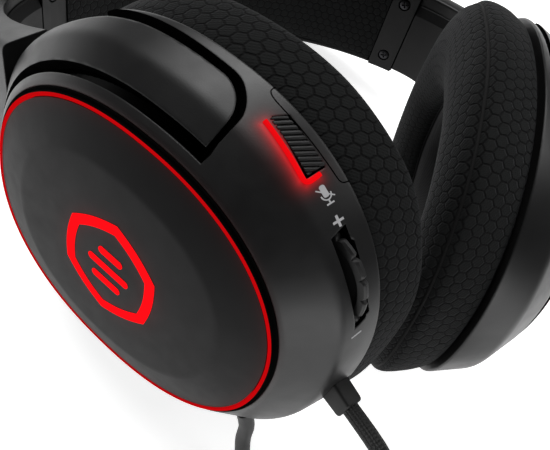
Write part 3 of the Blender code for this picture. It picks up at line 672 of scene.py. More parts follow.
def outer_shell(side, word, look):
    """Casing round a cup, with the yoke's recess and, on the left, the openings for the controls."""
    profile = [(0.6, 43.1, 36.8, 0.0), (1.1, 44.0, 37.7, 0.0), (8.7, 52.2, 45.3, 0.0),
               (13.5, 52.35, 47.8, -1.2), (18.4, 52.5, 50.3, -2.4), (18.4, 46.6, 44.2, -2.4),
               (10.2, 46.0, 39.2, 0.0), (3.8, 40.0, 33.7, 0.0), (2.3, 40.0, 33.7, 0.0),
               (2.3, 43.1, 36.8, 0.0)]
    rows = soften(profile, {1: 0.5, 2: 1.3, 4: 0.6})
    place = cup_matrix(side)
    shell = loft("shell_" + word, [cup_ring(side, *row) for row in rows], place,
                 look["shell" if side < 0 else "far_shell"], "cup_" + word, wrap=True)
    recess = fork_rings(side, front=-1.9, back=1.3, end=2.0, out=6.0, inn=FORK_THICK + 1.5, radius=5.2)
    # The cutters carry the near-black gap material onto the walls they leave: painted shade.
    cutters = [loft("cut_recess", recess, place, look["gap"], None, caps=True)]
    if side < 0:
        cutters += control_cutters(side, place, look["gap"])
    for cutter in cutters:
        cut(shell, cutter)
    settle(shell, *cutters)
    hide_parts("outer_shell_" + word)


def control_cutters(side, place, gap):
    """Openings in the left cup: wheel slot, room for the wheel, mute pad, cable and microphone. Their walls
    take the near-black gap material: painted shade.
    """
    wheel = wall_frame(side, WHEEL_ANGLE, WHEEL_DEPTH)
    half, low, high = SLOT_LENGTH / 2, -SLOT_WIDTH / 2 - 0.6, SLOT_WIDTH / 2
    corners = ((0.9 - half, low), (half + 0.1, low), (half + 1.3, high), (2.4 - half, high))
    slot = well("cut_slot", wheel, corners, -5.0, place, gap)
    clear = WHEEL_RADIUS + 0.6
    room = turned("cut_room", wheel_frame(side), ((clear, -1.6), (clear, 1.1)), place, gap, None, 64)
    half, wide = MUTE_LENGTH / 2 + 0.12, MUTE_WIDTH / 2 + 0.15
    corners = ((-half, -wide), (half, MUTE_TAPER - wide), (half - 0.7 * wide, wide), (-half, wide))
    mute = well("cut_mute", wall_frame(side, MUTE_ANGLE, MUTE_DEPTH), corners, -2.4, place, gap)
    exit_wall = wall_frame(side, RELIEF_ANGLE, RELIEF_DEPTH)
    relief = block("cut_relief", exit_wall, 3.6, 2.7, -9.0, 3.0, place, gap, None)
    socket = turned("cut_mic", wall_frame(side, MIC_ANGLE, MIC_DEPTH), ((3.4, -9.0), (3.4, 4.0)),
                    place, gap, None, 32)
    return [slot, room, mute, relief, socket]


def well(name, frame, corners, floor, place, material):
    """Cutter with straight sides over four corners, from floor to above the wall."""
    rings = [[frame @ Vector((x, y, z)) for x, y in corners] for z in (floor, 4.0)]
    return loft(name, rings, place, material, None, caps=True)


def plate_depth(share):
    """Plate's surface from its centre to its rim: a low dome, then a steeper rim beyond the crease."""
    if share < CREASE:
        return -(4.1 - 0.9 * (share / CREASE) ** 2)
    fall = (share - CREASE) / (1.0 - CREASE)
    return -3.2 + 2.7 * (fall * 0.9 + 0.1 * fall * fall)


def outer_plate(side, word, look):
    gap, centre, inner, outer = 0.15, 0.02, 30, 14
    up, front = RING_UP - RING_HALF - gap, RING_FRONT - RING_HALF - gap
    shares = [centre + (CREASE - centre) * k / inner for k in range(inner + 1)]
    shares += [CREASE + (1.0 - CREASE) * k / outer for k in range(1, outer + 1)]
    rings = [cup_ring(side, plate_depth(share), up * share, front * share) for share in shares]
    rings.append(cup_ring(side, 2.0, up, front))
    plate = loft("plate_" + word, rings, cup_matrix(side), look["plate_" + word], "cup_" + word, caps=True)
    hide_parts("outer_plate_" + word)


def light_ring(side, word, look):
    """Light guide round the plate: its lip is lit, and outside it lies a groove whose faces take the
    near-black gap material: painted shade.
    """
    rows = [(-0.5, -0.74), (-0.7, -0.6), (-0.7, -0.2), (-0.5, 0.1), (0.3, 0.3), (0.3, RING_HALF + 0.2),
            (2.2, RING_HALF + 0.2), (2.2, -RING_HALF), (0.0, -RING_HALF)]
    rings = [cup_ring(side, depth, RING_UP + offset, RING_FRONT + offset) for depth, offset in rows]
    ring = loft("ring_" + word, rings, cup_matrix(side), look["light"], "cup_" + word, wrap=True)
    # Painted shade: the groove's faces take the near-black gap material.
    ring.data.materials.append(look["gap"])
    for face in ring.data.polygons:
        if face.index // CUP_SEGMENTS in (3, 4, 5):
            face.material_index = 1
    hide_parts("light_ring_" + word)


def dome_spot(side, y, z, lift):
    """Point on the plate's dome, raised by lift."""
    share = (abs(y / RING_FRONT) ** SQUARENESS + abs(z / RING_UP) ** SQUARENESS) ** (1.0 / SQUARENESS)
    return cup_point(side, plate_depth(share) - lift, y, z)


def emblem(side, word, look):
    """Generic mark: a soft hexagon outline round three level bars."""
    place, parts = cup_matrix(side), []

    def outline(radius, lift):
        ring = []
        for i in range(144):
            angle = 2 * math.pi * i / 144
            turn = (angle + math.pi / 6) % (math.pi / 3) - math.pi / 6
            reach = radius * (0.45 + 0.55 * math.cos(math.pi / 6) ** 0.5 / math.cos(turn))
            ring.append(dome_spot(side, reach * math.sin(angle), reach * math.cos(angle), lift))
        return ring
    buried, proud, wide, narrow, bar = -0.3, 0.12, 14.0, 11.3, 1.05
    rings = [outline(wide, buried), outline(wide, proud), outline(narrow, proud), outline(narrow, buried)]
    parts.append(loft("emblem_ring_" + word, rings, place, look["emblem"], "cup_" + word, wrap=True))
    for k, (offset, low, high) in enumerate(((-4.4, -2.6, 2.6), (0.0, -5.2, 5.2), (4.4, -3.4, 3.4))):
        rows = []
        for lift in (buried, proud):
            ring = []
            for i in range(24):
                angle = 2 * math.pi * i / 24
                end = high if math.cos(angle) > 0 else low
                y, z = offset + bar * math.sin(angle), end + bar * math.cos(angle)
                ring.append(dome_spot(side, y, z, lift))
            rows.append(ring)
        name = "emblem_bar_%s_%d" % (word, k)
        parts.append(loft(name, rows, place, look["emblem"], "cup_" + word, caps=True))
    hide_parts("emblem_lens_" + word)
    for part in parts:
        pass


def cushion_section():
    """Section of the ear cushion, from the shell round its crown to the lining, with two seams."""
    rows = [(18.75, 49.0, 47.0, -2.5), (20.6, 51.0, 49.6, -2.9), (26.0, 52.2, 52.4, -4.0),
            (31.4, 52.3, 53.3, -5.0), (35.2, 49.6, 50.2, -5.1), (37.3, 43.4, 42.6, -5.1),
            (36.7, 38.4, 35.2, -5.1), (34.0, 33.8, 28.8, -5.1), (28.6, 31.2, 25.2, -4.8),
            (18.75, 30.0, 23.0, -4.0)]
    samples = 11
    seams = (3 * samples + 4, 8 * samples)
    rows = np.array(spline(rows, samples))
    step = np.linalg.norm(np.diff(rows[:, :2], axis=0), axis=1)
    along = np.concatenate([[0.0], np.cumsum(step)])
    tangent = np.gradient(rows[:, :2], axis=0)
    tangent /= np.linalg.norm(tangent, axis=1)[:, None]
    deep, reach = 0.75, 1.1
    for seam in seams:
        dip = deep * np.exp(-((along - along[seam]) / reach) ** 2)
        rows[:, 0] -= dip * -tangent[:, 1]
        rows[:, 1] -= dip * tangent[:, 0]
        rows[:, 2] -= dip * tangent[:, 0]
    return rows, along, seams


def ear_cushion(side, word, look):
    """Padded ring in mesh fabric with a plain lining and two piped seams."""
    rows, along, seams = cushion_section()
    segments, cells = 176, 112
    rings = []
    for index, row in enumerate(rows):
        ring = cup_ring(side, *row, segments=segments)
        soft = min(1.0, max(0.0, (row[0] - 19.5) / 5.0))
        for i, point in enumerate(ring):
            turn = 2 * math.pi * i / segments
            swell = 0.22 * math.sin(5 * turn + 1.0) + 0.16 * math.sin(11 * turn + index * 0.05)
            direction = Vector((0.0, point.y, point.z)).normalized()
            ring[i] = point + direction * swell * soft
        rings.append(ring)

    def measure(column, row):
        return (column / segments * cells * CELL, along[min(row, len(along) - 1)])
    cushion = loft("cushion_" + word, rings, cup_matrix(side), look["mesh"], "cup_" + word,
                   wrap=True, measure=measure, sharp=80.0)
    # The lining's colour is partly painted light on the ear hole's walls.
    cushion.data.materials.append(look["lining"])
    for face in cushion.data.polygons:
        if face.index // segments >= seams[1]:
            face.material_index = 1
    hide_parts("ear_cushion_" + word)
    for name, index in zip(("outer", "inner"), seams):
        seam = sweep("seam_%s_%s" % (name, word), rings[index], 0.42, cup_matrix(side), look["seam"],
                     "cup_" + word, sides=8, loop=True)


# ---------------------------------------------------------------- forks and arms

FORK_FINE = soften(FORK_SKIN, {1: 1.3}, 8)
FORK_DEPTHS, FORK_ENDS = (4.2, 8.7, 14.4), (100.0, 99.2, 97.2)
FORK_COLUMNS, FORK_SWEEP = 20, RAD(95.0)


def fork_back(angle, trim):
    """Back edge: full at the ends; trimmed towards the arm when asked for."""
    away = max(0.0, RAD(95.5) - abs(angle)) / RAD(35.0)
    wide = 14.4 + 2.0 * away ** 1.3
    narrow = np.interp(math.degrees(abs(angle)), (0.0, 30.0, 45.0, 60.0, 70.0), (9.6, 9.9, 11.4, 13.9, 14.4))
    return float(narrow) if trim else wide


def fork_spot(side, angle, depth, lift):
    """Point raised from the fork's skin: along the slant in front, radially further back."""
    share = min(1.0, max(0.0, (depth - 7.2) / 3.0))
    slant = math.sqrt(0.5)
    radial = lift * (slant + (1.0 - slant) * share)
    up, front, centre = read_skin(FORK_FINE, depth)
    y, z = squircle(angle, up + radial, front + radial)
    return cup_point(side, depth - lift * slant * (1.0 - share), y, z + centre)


def fork_rings(side, front=0.0, back=0.0, end=0.0, out=0.0, inn=FORK_THICK, radius=4.5, trim=False):
    """The U-shaped band with a rounded corner at the back of each end."""
    stations, span, rings = 44, 82.0, []
    for k in range(-stations, stations + 1):
        share = math.sin(math.pi / 2 * k / stations)
        reach = (1.0 - abs(share)) * span
        corner = radius - math.sqrt(max(0.0, radius ** 2 - max(0.0, radius - reach) ** 2))
        start = FORK_START + front
        stop = fork_back(share * FORK_SWEEP, trim) + back - corner
        spots = []
        for i in range(FORK_COLUMNS + 1):
            depth = start + (stop - start) * i / FORK_COLUMNS
            limit = np.interp(depth, FORK_DEPTHS, FORK_ENDS) + end
            spots.append((share * RAD(limit), depth))
        rings.append([fork_spot(side, a, d, out) for a, d in spots]
                     + [fork_spot(side, a, d, -inn) for a, d in reversed(spots)])
    return rings


def arm_stations(side, steps=40):
    """Centre and across-thickness along the arm, as worn."""
    start = arch_point(side, BAND_END + 0.005, 5.65, 0.0)
    start_dir = Vector((side * math.cos(BAND_END), 0.0, -math.sin(BAND_END))).normalized()
    normal = Vector((math.cos(CUP_TILT) * side, 0.0, -math.sin(CUP_TILT)))
    upward = Vector((math.sin(CUP_TILT) * side, 0.0, math.cos(CUP_TILT)))
    foot = Vector((side * CUP_X, 0.0, 0.0)) - normal * 15.2 + upward * 50.6
    a, b, c, d = start, start + start_dir * 18.0, foot + upward * 20.0, foot
    for i in range(steps + 1):
        t = i / steps
        point = a * (1 - t) ** 3 + b * 3 * t * (1 - t) ** 2 + c * 3 * t * t * (1 - t) + d * t ** 3
        tangent = (b - a) * 3 * (1 - t) ** 2 + (c - b) * 6 * t * (1 - t) + (d - c) * 3 * t * t
        across = Vector((0.0, 1.0, 0.0)).cross(tangent.normalized()) * side
        if across.x * side < 0:
            across = -across
        yield t, point, across


def arm(side, word, look):
    """Yoke round the cup's top, the stem up to the headband and the panel on its inner face."""
    place = cup_matrix(side)
    fork = loft("yoke_" + word, fork_rings(side, trim=True), place, look["arm"], "arm_" + word, caps=True)
    # Painted shade: the yoke's inner face, front and back edges and end caps take the near-black gap
    # material.
    fork.data.materials.append(look["gap"])
    first_cap = len(fork.data.polygons) - 2
    ring_size = 2 * (FORK_COLUMNS + 1)
    for face in fork.data.polygons:
        if face.index % ring_size >= FORK_COLUMNS or face.index >= first_cap:
            face.material_index = 1
    round_edges(fork, 0.5)
    settle(fork)
    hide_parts("fork_arm_" + word)
    rings, panel = [], []
    for t, point, across in arm_stations(side):
        flare = t ** 3
        low, high, half = -3.35 - 3.0 * flare, 3.35 + 3.0 * flare, BAND_WIDTH / 2 + 7.0 * flare
        outline = soften([(low, -half), (low, half), (high, half), (high, -half)],
                         {0: 0.8, 1: 0.8, 2: 2.2, 3: 2.2}, 4)
        rings.append([point + across * x + Vector((0.0, y, 0.0)) for x, y in outline])
        if t < 0.83:
            back, front = -half + 4.4 - 2.0 * flare, half - 1.0
            top = low - 0.2
            corners = ((top, back), (top, front), (top - 1.7, front - 0.6), (top - 1.9, front - 1.6),
                       (top - 1.9, back + 3.4), (top - 1.6, back + 2.6), (top - 0.5, back + 0.2))
            panel.append([point + across * x + Vector((0.0, y, 0.0)) for x, y in corners])
    stem = loft("arm_stem_" + word, rings, LAY, look["arm"], "arm_" + word, caps=True)
    cover = loft("arm_panel_" + word, panel, LAY, look["inner_arm"], "arm_" + word, caps=True, sharp=20.0)
    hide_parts("arm_cover_" + word)


# ---------------------------------------------------------------- headband

def band_inner(angle):
    """Offset of the shell's inner face, which makes room for the pad."""
    share = min(1.0, abs(angle) / BAND_END)
    return 3.0 + 8.5 * (1.0 - share * share)


def band_outer(angle):
    """Offset of the shell's outer face."""
    share = min(1.0, abs(angle) / BAND_END)
    return 9.0 + 8.0 * (1.0 - share * share)


def headband(look):
    """Shell, pad, near-black strips in the joints at the brackets, which are painted shade, and the screws.
    """
    half, steps, rings = BAND_WIDTH / 2, 96, []
    for i in range(steps + 1):
        angle = -BAND_END + 2 * BAND_END * i / steps
        low, high = band_inner(angle), band_outer(angle)
        outline = soften([(low, -half), (low, half), (high, half), (high, -half)],
                         {0: 0.5, 1: 0.5, 2: 2.4, 3: 2.4}, 5)
        rings.append([arch_point(1, angle, o, y) for o, y in outline])
    shell = loft("band_shell", rings, LAY, look["arm"], "headband", caps=True)
    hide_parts("headband_shell")
    band_pad(look)
    for side, word in SIDES:
        # Near-black strips in the joints: painted shade at the brackets.
        for name, start, stop, low, high in (("outer", BAND_END - 0.002, BAND_END + 0.0044, 0.2, 8.4),
                                             ("inner", PAD_END - 0.007, PAD_END + 0.002, 0.5, 4.6)):
            rings = []
            for angle in (start, stop):
                corners = ((low, 0.6 - half), (low, half - 0.6), (high, half - 0.6), (high, 0.6 - half))
                rings.append([arch_point(side, angle, o, y) for o, y in corners])
            joint = loft("band_joint_%s_%s" % (name, word), rings, LAY, look["gap"], "headband", caps=True)
        for front, end in ((1, "front"), (-1, "rear")):
            bracket_screw(side, front, word + "_" + end, look)


def band_pad(look):
    """Crowned pad: full in the middle, thin at its ends, with a hem along both edges."""
    steps, around, half = 110, 56, BAND_WIDTH / 2 - 0.5
    rings, section, end = [], [], PAD_END - 0.004
    for i in range(steps + 1):
        angle = -end + 2 * end * i / steps
        thick = band_inner(angle) - 1.45
        ring = []
        for k in range(around):
            turn = 2 * math.pi * k / around
            y = math.copysign(abs(math.cos(turn)) ** 0.42, math.cos(turn)) * half
            o = math.copysign(abs(math.sin(turn)) ** 0.62, math.sin(turn)) * thick / 2 + thick / 2
            swell = 0.25 * math.sin(angle * 22.0) * math.cos(y / half * 1.4)
            ring.append(arch_point(1, angle, o + (swell if o < thick / 2 else 0.0), y))
        rings.append(ring)
    middle = rings[steps // 2]
    walked = 0.0
    for k in range(around + 1):
        section.append(walked)
        walked += (middle[(k + 1) % around] - middle[k % around]).length

    def measure(column, row):
        return ((row / steps - 0.5) * 2 * end * BAND_X, section[column])
    pad = loft("band_cushion", rings, LAY, look["mesh"], "headband", caps=True, measure=measure, sharp=80.0)
    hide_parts("headband_pad")
    for sign, end_word in ((1, "front"), (-1, "rear")):
        route = []
        for i in range(81):
            angle = -end + 2 * end * i / 80
            route.append(arch_point(1, angle, 1.6, sign * (half - 0.35)))
        hem = sweep("band_hem_" + end_word, route, 0.85, LAY, look["hem"], "headband", sides=10)


def bracket_screw(side, front, word, look):
    """Cross-head screw sunk in the bracket."""
    angle = (PAD_END + BAND_END) / 2
    origin = arch_point(side, angle, 0.0, front * SCREW_Y)
    inward = (arch_point(side, angle, -1.0, 0.0) - arch_point(side, angle, 0.0, 0.0)).normalized()
    width = Vector((0.0, 1.0, 0.0))
    frame = framed(origin, width.cross(inward), width, inward)
    profile = ((1.0, -5.0), (1.0, -1.4), (1.95, -1.4), (1.95, -0.6),
               (1.75, -0.3), (1.1, -0.12), (0.2, -0.08))
    screw = turned("screw_" + word, frame, profile, LAY, look["black_steel"], "headband", 36)
    cutters = []
    for turn in (20.0, 110.0):
        slot = frame @ Matrix.Rotation(RAD(turn), 4, "Z")
        cutters.append(block("cut_cross", slot, 1.15, 0.26, -0.9, 0.5, LAY, None, None))
    for cutter in cutters:
        cut(screw, cutter)
    settle(screw, *cutters)
    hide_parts("bracket_screw_" + word)


# ---------------------------------------------------------------- left cup's controls

def wheel_frame(side):
    """Frame at the wheel's axle, with Z along it and outwards."""
    wall = wall_frame(side, WHEEL_ANGLE, WHEEL_DEPTH)
    inward = -Vector((0.0, wall.col[2].y, wall.col[2].z)).normalized()
    centre = wall.translation + inward * WHEEL_SINK
    return framed(centre, (0, side, 0), (0, 0, 1), (side, 0, 0))


def volume_wheel(side, look):
    """Wheel whose rim is cut into raised blocks, with a hollow in its outer face."""
    blocks, steps = 18, 12
    frame, low = wheel_frame(side), -WHEEL_THICK / 2
    high = -low - 0.7
    rings = []
    for rim, height in ((0, low), (2, low), (3, low + 0.4), (3, high - 0.4), (2, high),
                        (1, high), (1, high - 1.0), (0, high - 1.0)):
        ring = []
        for i in range(blocks * steps):
            angle = 2 * math.pi * i / (blocks * steps)
            place = (i % steps) / steps
            notch = max(0.0, 1.0 - abs(place - 0.5) / 0.13)
            radius = (2.3, WHEEL_RADIUS - 1.9, WHEEL_RADIUS - 0.45 - 0.8 * notch,
                      WHEEL_RADIUS - 0.85 * notch)[rim]
            ring.append(frame @ Vector((radius * math.cos(angle), radius * math.sin(angle), height)))
        rings.append(ring)
    wheel = loft("wheel", rings, cup_matrix(side), look["wheel"], "volume_wheel", wrap=True, sharp=28.0)
    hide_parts("volume_wheel")


def mute_controls(side, look):
    """Pad with slanting ribs, and the lit bar that hooks round its rear end."""
    place = cup_matrix(side)
    rows, length, width, pitch = [], MUTE_LENGTH / 2, MUTE_WIDTH / 2, 1.0
    along, across = 128, 40
    for i in range(along + 1):
        row = []
        for k in range(across + 1):
            left = -width + MUTE_TAPER * i / along
            y = left + (width - left) * k / across
            top = length - max(0.0, y) * 0.7
            x = -length + (length + top) * i / along
            wave = ((-x * 0.83 - y * 0.56) / pitch) % 1.0
            groove = 0.5 * max(0.0, 1.0 - abs(wave - 0.5) / 0.24)
            rise = min(1.0, min(i, along - i) / 2.0, min(k, across - k) / 2.0)
            row.append(wall_spot(side, MUTE_ANGLE, MUTE_DEPTH, x, y, -1.2 + rise * (1.45 - groove)))
        rows.append(row)
    pad = grid("mute_pad", rows, place, look["arm"], "mute_button", sharp=60.0)
    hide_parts("mute_button")
    corner = [(length * k / 4.0, -2.75 + MUTE_TAPER * (0.5 + k / 8.0)) for k in (4, 2, 0, -2, -3.6)]
    corner += [(-length - 0.5, -2.6), (-length - 0.95, -2.0), (-length - 0.95, -1.2), (-length - 0.8, 0.2)]
    route = [wall_spot(side, MUTE_ANGLE, MUTE_DEPTH, x, y, 0.12) for x, y in spline(corner, 5)]
    bar = sweep("mute_lamp", route, 0.5, place, look["bar"], "cup_left", sides=14)
    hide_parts("mute_light")


def stroke(name, side, angle, depth, points, width, look):
    """Flat printed line on the wall, through (towards the top, deeper) points."""
    points = [Vector(p) for p in points]
    rows = []
    for i, point in enumerate(points):
        ahead = (points[min(i + 1, len(points) - 1)] - points[max(i - 1, 0)]).normalized()
        aside = Vector((-ahead.y, ahead.x)) * width / 2
        rows.append([wall_spot(side, angle, depth, *(point + aside * s), 0.05) for s in (1, 0, -1)])
    line = grid(name, rows, cup_matrix(side), look["icon"], "cup_left")


def icons(side, look):
    """Printed marks: a crossed-out microphone, a plus and a minus."""
    angle, depth = RAD(-123.3), 13.5
    body = [(0.1 + 0.5 * (1 - math.cos(RAD(a))), math.sin(RAD(a))) for a in range(0, 91, 15)]
    body += [(2.6 - x, y) for x, y in reversed(body)]
    for k, ((x, y), (far, wide)) in enumerate(zip(body, body[1:])):
        line = ((x, 0), (far + 0.01, 0))
        stroke("icon_mic_body_%02d" % k, side, angle, depth, line, max(y, wide) * 1.1, look)
    arc = [(0.7 - 1.1 * math.sin(RAD(a)), 0.95 * math.cos(RAD(a))) for a in range(0, 181, 15)]
    stroke("icon_mic_cradle", side, angle, depth, arc, 0.26, look)
    stroke("icon_mic_stem", side, angle, depth, ((-0.4, 0), (-1.1, 0)), 0.3, look)
    stroke("icon_mic_foot", side, angle, depth, ((-1.2, -0.75), (-1.2, 0.75)), 0.32, look)
    stroke("icon_mic_bar", side, angle, depth, ((2.1, -1.3), (-0.3, 1.35)), 0.24, look)
    angle, depth = RAD(-129.0), 13.3
    stroke("icon_plus_a", side, angle, depth, ((-1.15, 0), (1.15, 0)), 0.5, look)
    stroke("icon_plus_b", side, angle, depth, ((0, -1.1), (0, 1.1)), 0.5, look)
    stroke("icon_minus", side, RAD(-160.2), 12.6, ((-0.25, -1.2), (0.25, 1.2)), 0.45, look)


def parting_line(side, look):
    """Fine joint in the rim of the shell beside the cushion: a thin near-black tube, painted shade in the
    joint.
    """
    route = ((98.4, 18.3), (98.7, 17.2), (101.0, 16.6), (107.0, 16.5), (113.0, 16.5),
             (119.0, 16.6), (122.0, 16.9), (122.8, 18.3))
    points = [wall_spot(side, RAD(-a), d, 0.0, 0.0, -0.02) for a, d in spline(route, 6)]
    line = sweep("rim_joint", points, 0.13, cup_matrix(side), look["gap"], "cup_left", sides=8)


def cable_relief(side, look):
    """Rubber boot where the cable leaves the cup."""
    frame = wall_frame(side, RELIEF_ANGLE, RELIEF_DEPTH)
    rings = []
    for z, x, y in ((-4.0, 3.35, 2.45), (0.0, 3.3, 2.45), (4.6, 3.0, 2.4), (5.2, 2.9, 2.3), (5.5, 2.6, 2.1)):
        outline = soften([(-x, -y), (x, -y), (x, y), (-x, y)], {0: 0.9, 1: 0.9, 2: 0.9, 3: 0.9}, 4)
        rings.append([frame @ Vector((a, b, z)) for a, b in outline])
    relief = loft("cable_boot", rings, cup_matrix(side), look["rubber"], "cup_left", caps=True, sharp=28.0)
    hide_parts("strain_relief")


# ---------------------------------------------------------------- boom and cable

def even(points, spacing):
    """Points respaced evenly along a line."""
    points = [Vector(p) for p in points]
    lengths = np.concatenate([[0.0], np.cumsum([(b - a).length for a, b in zip(points, points[1:])])])
    count = max(2, round(lengths[-1] / spacing))
    marks = np.linspace(0.0, lengths[-1], count + 1)
    table = np.array([tuple(p) for p in points])
    return [Vector([np.interp(mark, lengths, table[:, k]) for k in range(3)]) for mark in marks]


def microphone(side, look):
    """Socket, boom down to the table in front, capsule and foam ball."""
    frame = wall_frame(side, MIC_ANGLE, MIC_DEPTH)
    socket = turned("boom_socket", frame, ((3.2, -5.0), (3.2, 0.1), (2.7, 0.4), (2.3, 0.5)),
                    cup_matrix(side), look["boom"], "cup_left", 32)
    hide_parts("mic_socket")
    start = world_mm(side, frame @ Vector((0, 0, 0.6)))
    near = [start, world_mm(side, cup_point(side, 14.7, 43.5, -42.0)),
            world_mm(side, cup_point(side, 14.7, 52.0, -43.6))]
    far = [near[-1] + Vector(step) for step in ((1.0, -8.5, -8.5), (2.0, -22.0, -10.5), (3.5, -40.0, -9.8),
                                                (5.0, -58.0, -9.2), (6.0, -74.0, -8.6))]
    route = even(spline([tuple(p) for p in near + far], 12), 2.5)
    boom = sweep("boom", route, BOOM_D / 2, Matrix(), look["boom"], "mic_boom", sides=20)
    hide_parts("mic_boom")
    heading = (route[-1] - route[-2]).normalized()
    tip = Matrix.Translation(route[-1]) @ heading.to_track_quat("Z", "Y").to_matrix().to_4x4()
    profile = ((2.2, -2.0), (3.0, 0.3), (4.2, 2.0), (4.2, 5.0),
               (3.95, 5.3), (3.95, 5.9), (4.2, 6.2), (4.2, 8.0))
    capsule = turned("mic_collar", tip, profile, Matrix(), look["dark"], "mic_boom", 40)
    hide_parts("mic_capsule")
    profile = spline(((4.6, 8.0), (7.0, 10.6), (7.6, 16.0), (6.6, 20.6), (3.2, 24.1), (0.4, 24.6)), 6)
    foam = turned("foam_ball", tip, profile, Matrix(), look["foam"], "mic_boom", 56)
    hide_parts("mic_windscreen")


def coil_points():
    """Turns in columns and layers, from the top layer down; each turn shifts in its last quarter."""
    columns, layers = COIL_COLUMNS, COIL_LAYERS
    slots = []
    for level, z in enumerate(layers):
        order = columns if level % 2 == 0 else columns[::-1]
        slots += [(radius, z) for radius in order]
    points, steps = [], 48
    for k, (radius, z) in enumerate(slots):
        after = slots[min(k + 1, len(slots) - 1)]
        for i in range(steps):
            share = max(0.0, (i / steps - 0.7) / 0.3)
            ease = share * share * (3 - 2 * share)
            r, height = radius + (after[0] - radius) * ease, z + (after[1] - z) * ease
            turn = math.pi + 2 * math.pi * i / steps
            points.append(COIL_CENTRE + Vector((r * math.cos(turn), r * math.sin(turn), height)))
    return points


def cable_points(side):
    """Cable's line: down from the cup to the coil's top, through its turns and out to the plug."""
    frame = wall_frame(side, RELIEF_ANGLE, RELIEF_DEPTH)
    start = world_mm(side, frame @ Vector((0, 0, 4.0)))
    second = world_mm(side, frame @ Vector((0, 0, 16.0)))
    left = COIL_CENTRE.x - COIL_COLUMNS[0]
    top = COIL_LAYERS[0]
    free = [start, second, (-12.2, -53.0, 66.3), (-8.8, -60.5, 57.0), (-5.6, -66.3, 45.5),
            (-2.6, -71.5, 33.5), (0.2, -78.5, 22.5), (left, -88.0, top + 1.6), (left, -98.0, top)]
    coil = coil_points()
    low, radius = COIL_LAYERS[-1], COIL_COLUMNS[0]
    leaving = [COIL_CENTRE + Vector((radius * math.cos(a), radius * math.sin(a), low))
               for a in (RAD(180 + 7.5 * k) for k in range(13))]
    tail_y = COIL_CENTRE.y - radius
    tail = [(COIL_CENTRE.x + 8.0, tail_y + 0.4, low), (COIL_CENTRE.x + 18.0, tail_y + 1.6, 2.4),
            (COIL_CENTRE.x + 28.0, tail_y + 5.0, 3.2), (COIL_CENTRE.x + 36.0, tail_y + 10.0, 4.2)]
    first = spline([tuple(p) for p in free] + [tuple(coil[0])], 8)
    last = spline([tuple(leaving[-1])] + tail, 8)
    return [Vector(p) for p in first[:-1]] + coil + leaving[:-1] + [Vector(p) for p in last]


def cable(side, look):
    """Braided cable with its strap and plug."""
    route = even(cable_points(side), 2.8)
    cord = sweep("cable_sleeve", route, CABLE_D / 2, Matrix(), look["braid"], "cup_left", sides=12)
    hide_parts("cable", "cable_coil", "cable_tail")
    heading = route[-1] - route[-2]
    heading.z = 0.0
    heading.normalize()
    tip = framed(route[-1] + heading * 0.9, (0.0, 0.0, 1.0), (-heading.y, heading.x, 0.0), heading)
    body = block("plug_shell", tip, 4.0, 7.8, 9.0, 31.0, Matrix(), look["rubber"], "cup_left", edge=1.2)
    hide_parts("plug_body")
    rings = []
    ribs = 12
    for k in range(ribs + 1):
        z = -0.6 + 9.4 * k / ribs
        grow = (0.86 + 0.024 * k) * (1.0 if k % 2 else 0.9)
        x, y = 2.7 * grow, 3.2 * grow
        outline = soften([(-x, -y), (x, -y), (x, y), (-x, y)], {0: 1.2, 1: 1.2, 2: 1.2, 3: 1.2}, 4)
        rings.append([tip @ Vector((x, y, z)) for x, y in outline])
    neck = loft("plug_neck", rings, Matrix(), look["rubber"], "cup_left", caps=True, sharp=25.0)
    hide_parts("plug_strain_relief")
    tie = coil_tie(look)


def coil_tie(look):
    """Rubber strap round one side of the coil."""
    inner, outer = COIL_COLUMNS[-1] - CABLE_D / 2 - 0.5, COIL_COLUMNS[0] + CABLE_D / 2 + 0.5
    top = COIL_LAYERS[0] + CABLE_D / 2 + 0.4
    strap, gap, foot = 1.2, 0.1, 0.15
    corners = [(inner - strap, foot), (inner - gap, foot), (inner - gap, top), (outer + gap, top),
               (outer + gap, foot), (outer + strap, foot),
               (outer + strap, top + 1.1), (inner - strap, top + 1.1)]
    outline = soften(corners, {6: 1.6, 7: 1.6}, 4)
    rings = [[COIL_CENTRE + Vector((x, y, z)) for x, z in outline] for y in (-3.5, -3.1, 3.1, 3.5)]
    tie = loft("coil_strap", rings, Matrix(), look["rubber"], "cup_left", caps=True, sharp=30.0)
    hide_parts("cable_tie")
    return tie


# ---------------------------------------------------------------- CAD parts that stay, and stage

def dress_frame(nodes, look):
    """Materials and small rounded edges for the CAD parts that stay."""
    finishes = {"led_board": "board", "control_board": "board", "magnet": "steel", "speaker_cloth": "screen",
                "speaker": "dark", "baffle": "dark", "slider_strip": "steel", "end_bracket": "dark",
                "pivot_pin": "steel", "spring_band": "steel", "volume_dial_axle": "steel",
                "mute_switch": "steel", "plug_sleeve": "steel", "plug_tongue": "dark"}
    for name, obj in nodes.items():
        stem = max((key for key in finishes if name.startswith(key)), key=len, default=None)
        obj.data.materials.clear()
        obj.data.materials.append(look[finishes[stem]] if stem else look["dark"])
        if stem in ("end_bracket", "slider_strip", "plug_sleeve", "plug_tongue"):
            round_edges(obj, 0.3 if stem == "end_bracket" else 0.12, 2)


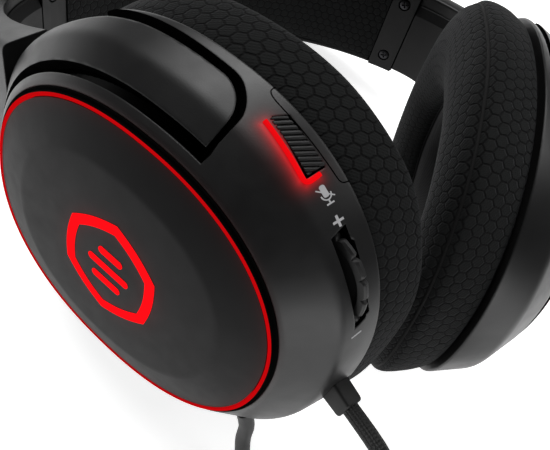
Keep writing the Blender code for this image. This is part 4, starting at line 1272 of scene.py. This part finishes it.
def stage():
    """Plain pale floor, just under the lowest piece."""
    floor = bpy.data.meshes.new("floor")
    reach = 3.0
    floor.from_pydata([(-reach, -reach, 0), (reach, -reach, 0), (reach, reach, 0), (-reach, reach, 0)],
                      [], [(0, 1, 2, 3)])
    obj = bpy.data.objects.new("floor", floor)
    bpy.context.scene.collection.objects.link(obj)
    obj.location.z = -0.0004
    paper = Shader("pale_floor", (0.92, 0.92, 0.92), 0.9, 0.1)
    paper.set("Emission Color", (1.0, 1.0, 1.0, 1.0))
    paper.set("Emission Strength", 0.8)
    paper.bump(paper.noise(900.0, 2.0), 0.00002, 0.2)
    floor.materials.append(paper.material)


def area(name, position, aim, size, power):
    light = bpy.data.lights.new(name, "AREA")
    light.shape = "RECTANGLE"
    light.size, light.size_y = size
    light.energy = power
    obj = bpy.data.objects.new(name, light)
    bpy.context.scene.collection.objects.link(obj)
    obj.location = position
    obj.rotation_euler = (Vector(aim) - Vector(position)).to_track_quat("-Z", "Y").to_euler()


def lights():
    """Three soft boxes and a white surround, which lights the object only dimly."""
    area("back_softbox", (-0.10, 0.78, 1.02), (0.0, 0.0, 0.05), (0.9, 0.55), 13.0)
    area("front_strip", (-0.02, -1.15, 0.24), (0.0, 0.0, 0.05), (0.9, 0.35), 4.2)
    area("top_softbox", (0.95, 0.1, 1.2), (0.1, 0.0, 0.0), (0.8, 1.0), 7.0)
    world = bpy.data.worlds.new("studio")
    world.use_nodes = True
    background = world.node_tree.nodes["Background"]
    background.inputs["Color"].default_value = (1.0, 1.0, 1.0, 1.0)
    seen = world.node_tree.nodes.new("ShaderNodeLightPath")
    level = world.node_tree.nodes.new("ShaderNodeMath")
    level.operation = "MULTIPLY_ADD"
    seen_white, dim_light = 0.85, 0.05
    level.inputs[1].default_value = seen_white
    level.inputs[2].default_value = dim_light
    world.node_tree.links.new(seen.outputs["Is Camera Ray"], level.inputs[0])
    world.node_tree.links.new(level.outputs[0], background.inputs["Strength"])
    bpy.context.scene.world = world
    bpy.context.scene.view_settings.view_transform = "Standard"


def camera():
    """View of the left cup from behind and above."""
    lens = bpy.data.cameras.new("camera")
    lens.sensor_width, lens.lens = 36.0, 39.27
    obj = bpy.data.objects.new("camera", lens)
    bpy.context.scene.collection.objects.link(obj)
    right, up, back = (0.9132, -0.2299, -0.3364), (0.1185, -0.6401, 0.7591), (-0.3899, -0.7331, -0.5573)
    obj.matrix_world = LAY @ framed(Vector((-79.97, -112.41, -81.01)) * MM, right, up, back)
    bpy.context.scene.camera = obj


def main():
    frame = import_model()
    camera()
    look = make_materials()
    dress_frame(frame["nodes"], look)
    cable(-1, look)
    for side, word in SIDES:
        outer_shell(side, word, look)
        outer_plate(side, word, look)
        light_ring(side, word, look)
        emblem(side, word, look)
        ear_cushion(side, word, look)
        arm(side, word, look)
    headband(look)
    volume_wheel(-1, look)
    mute_controls(-1, look)
    icons(-1, look)
    parting_line(-1, look)
    cable_relief(-1, look)
    microphone(-1, look)
    stage()
    lights()


main()
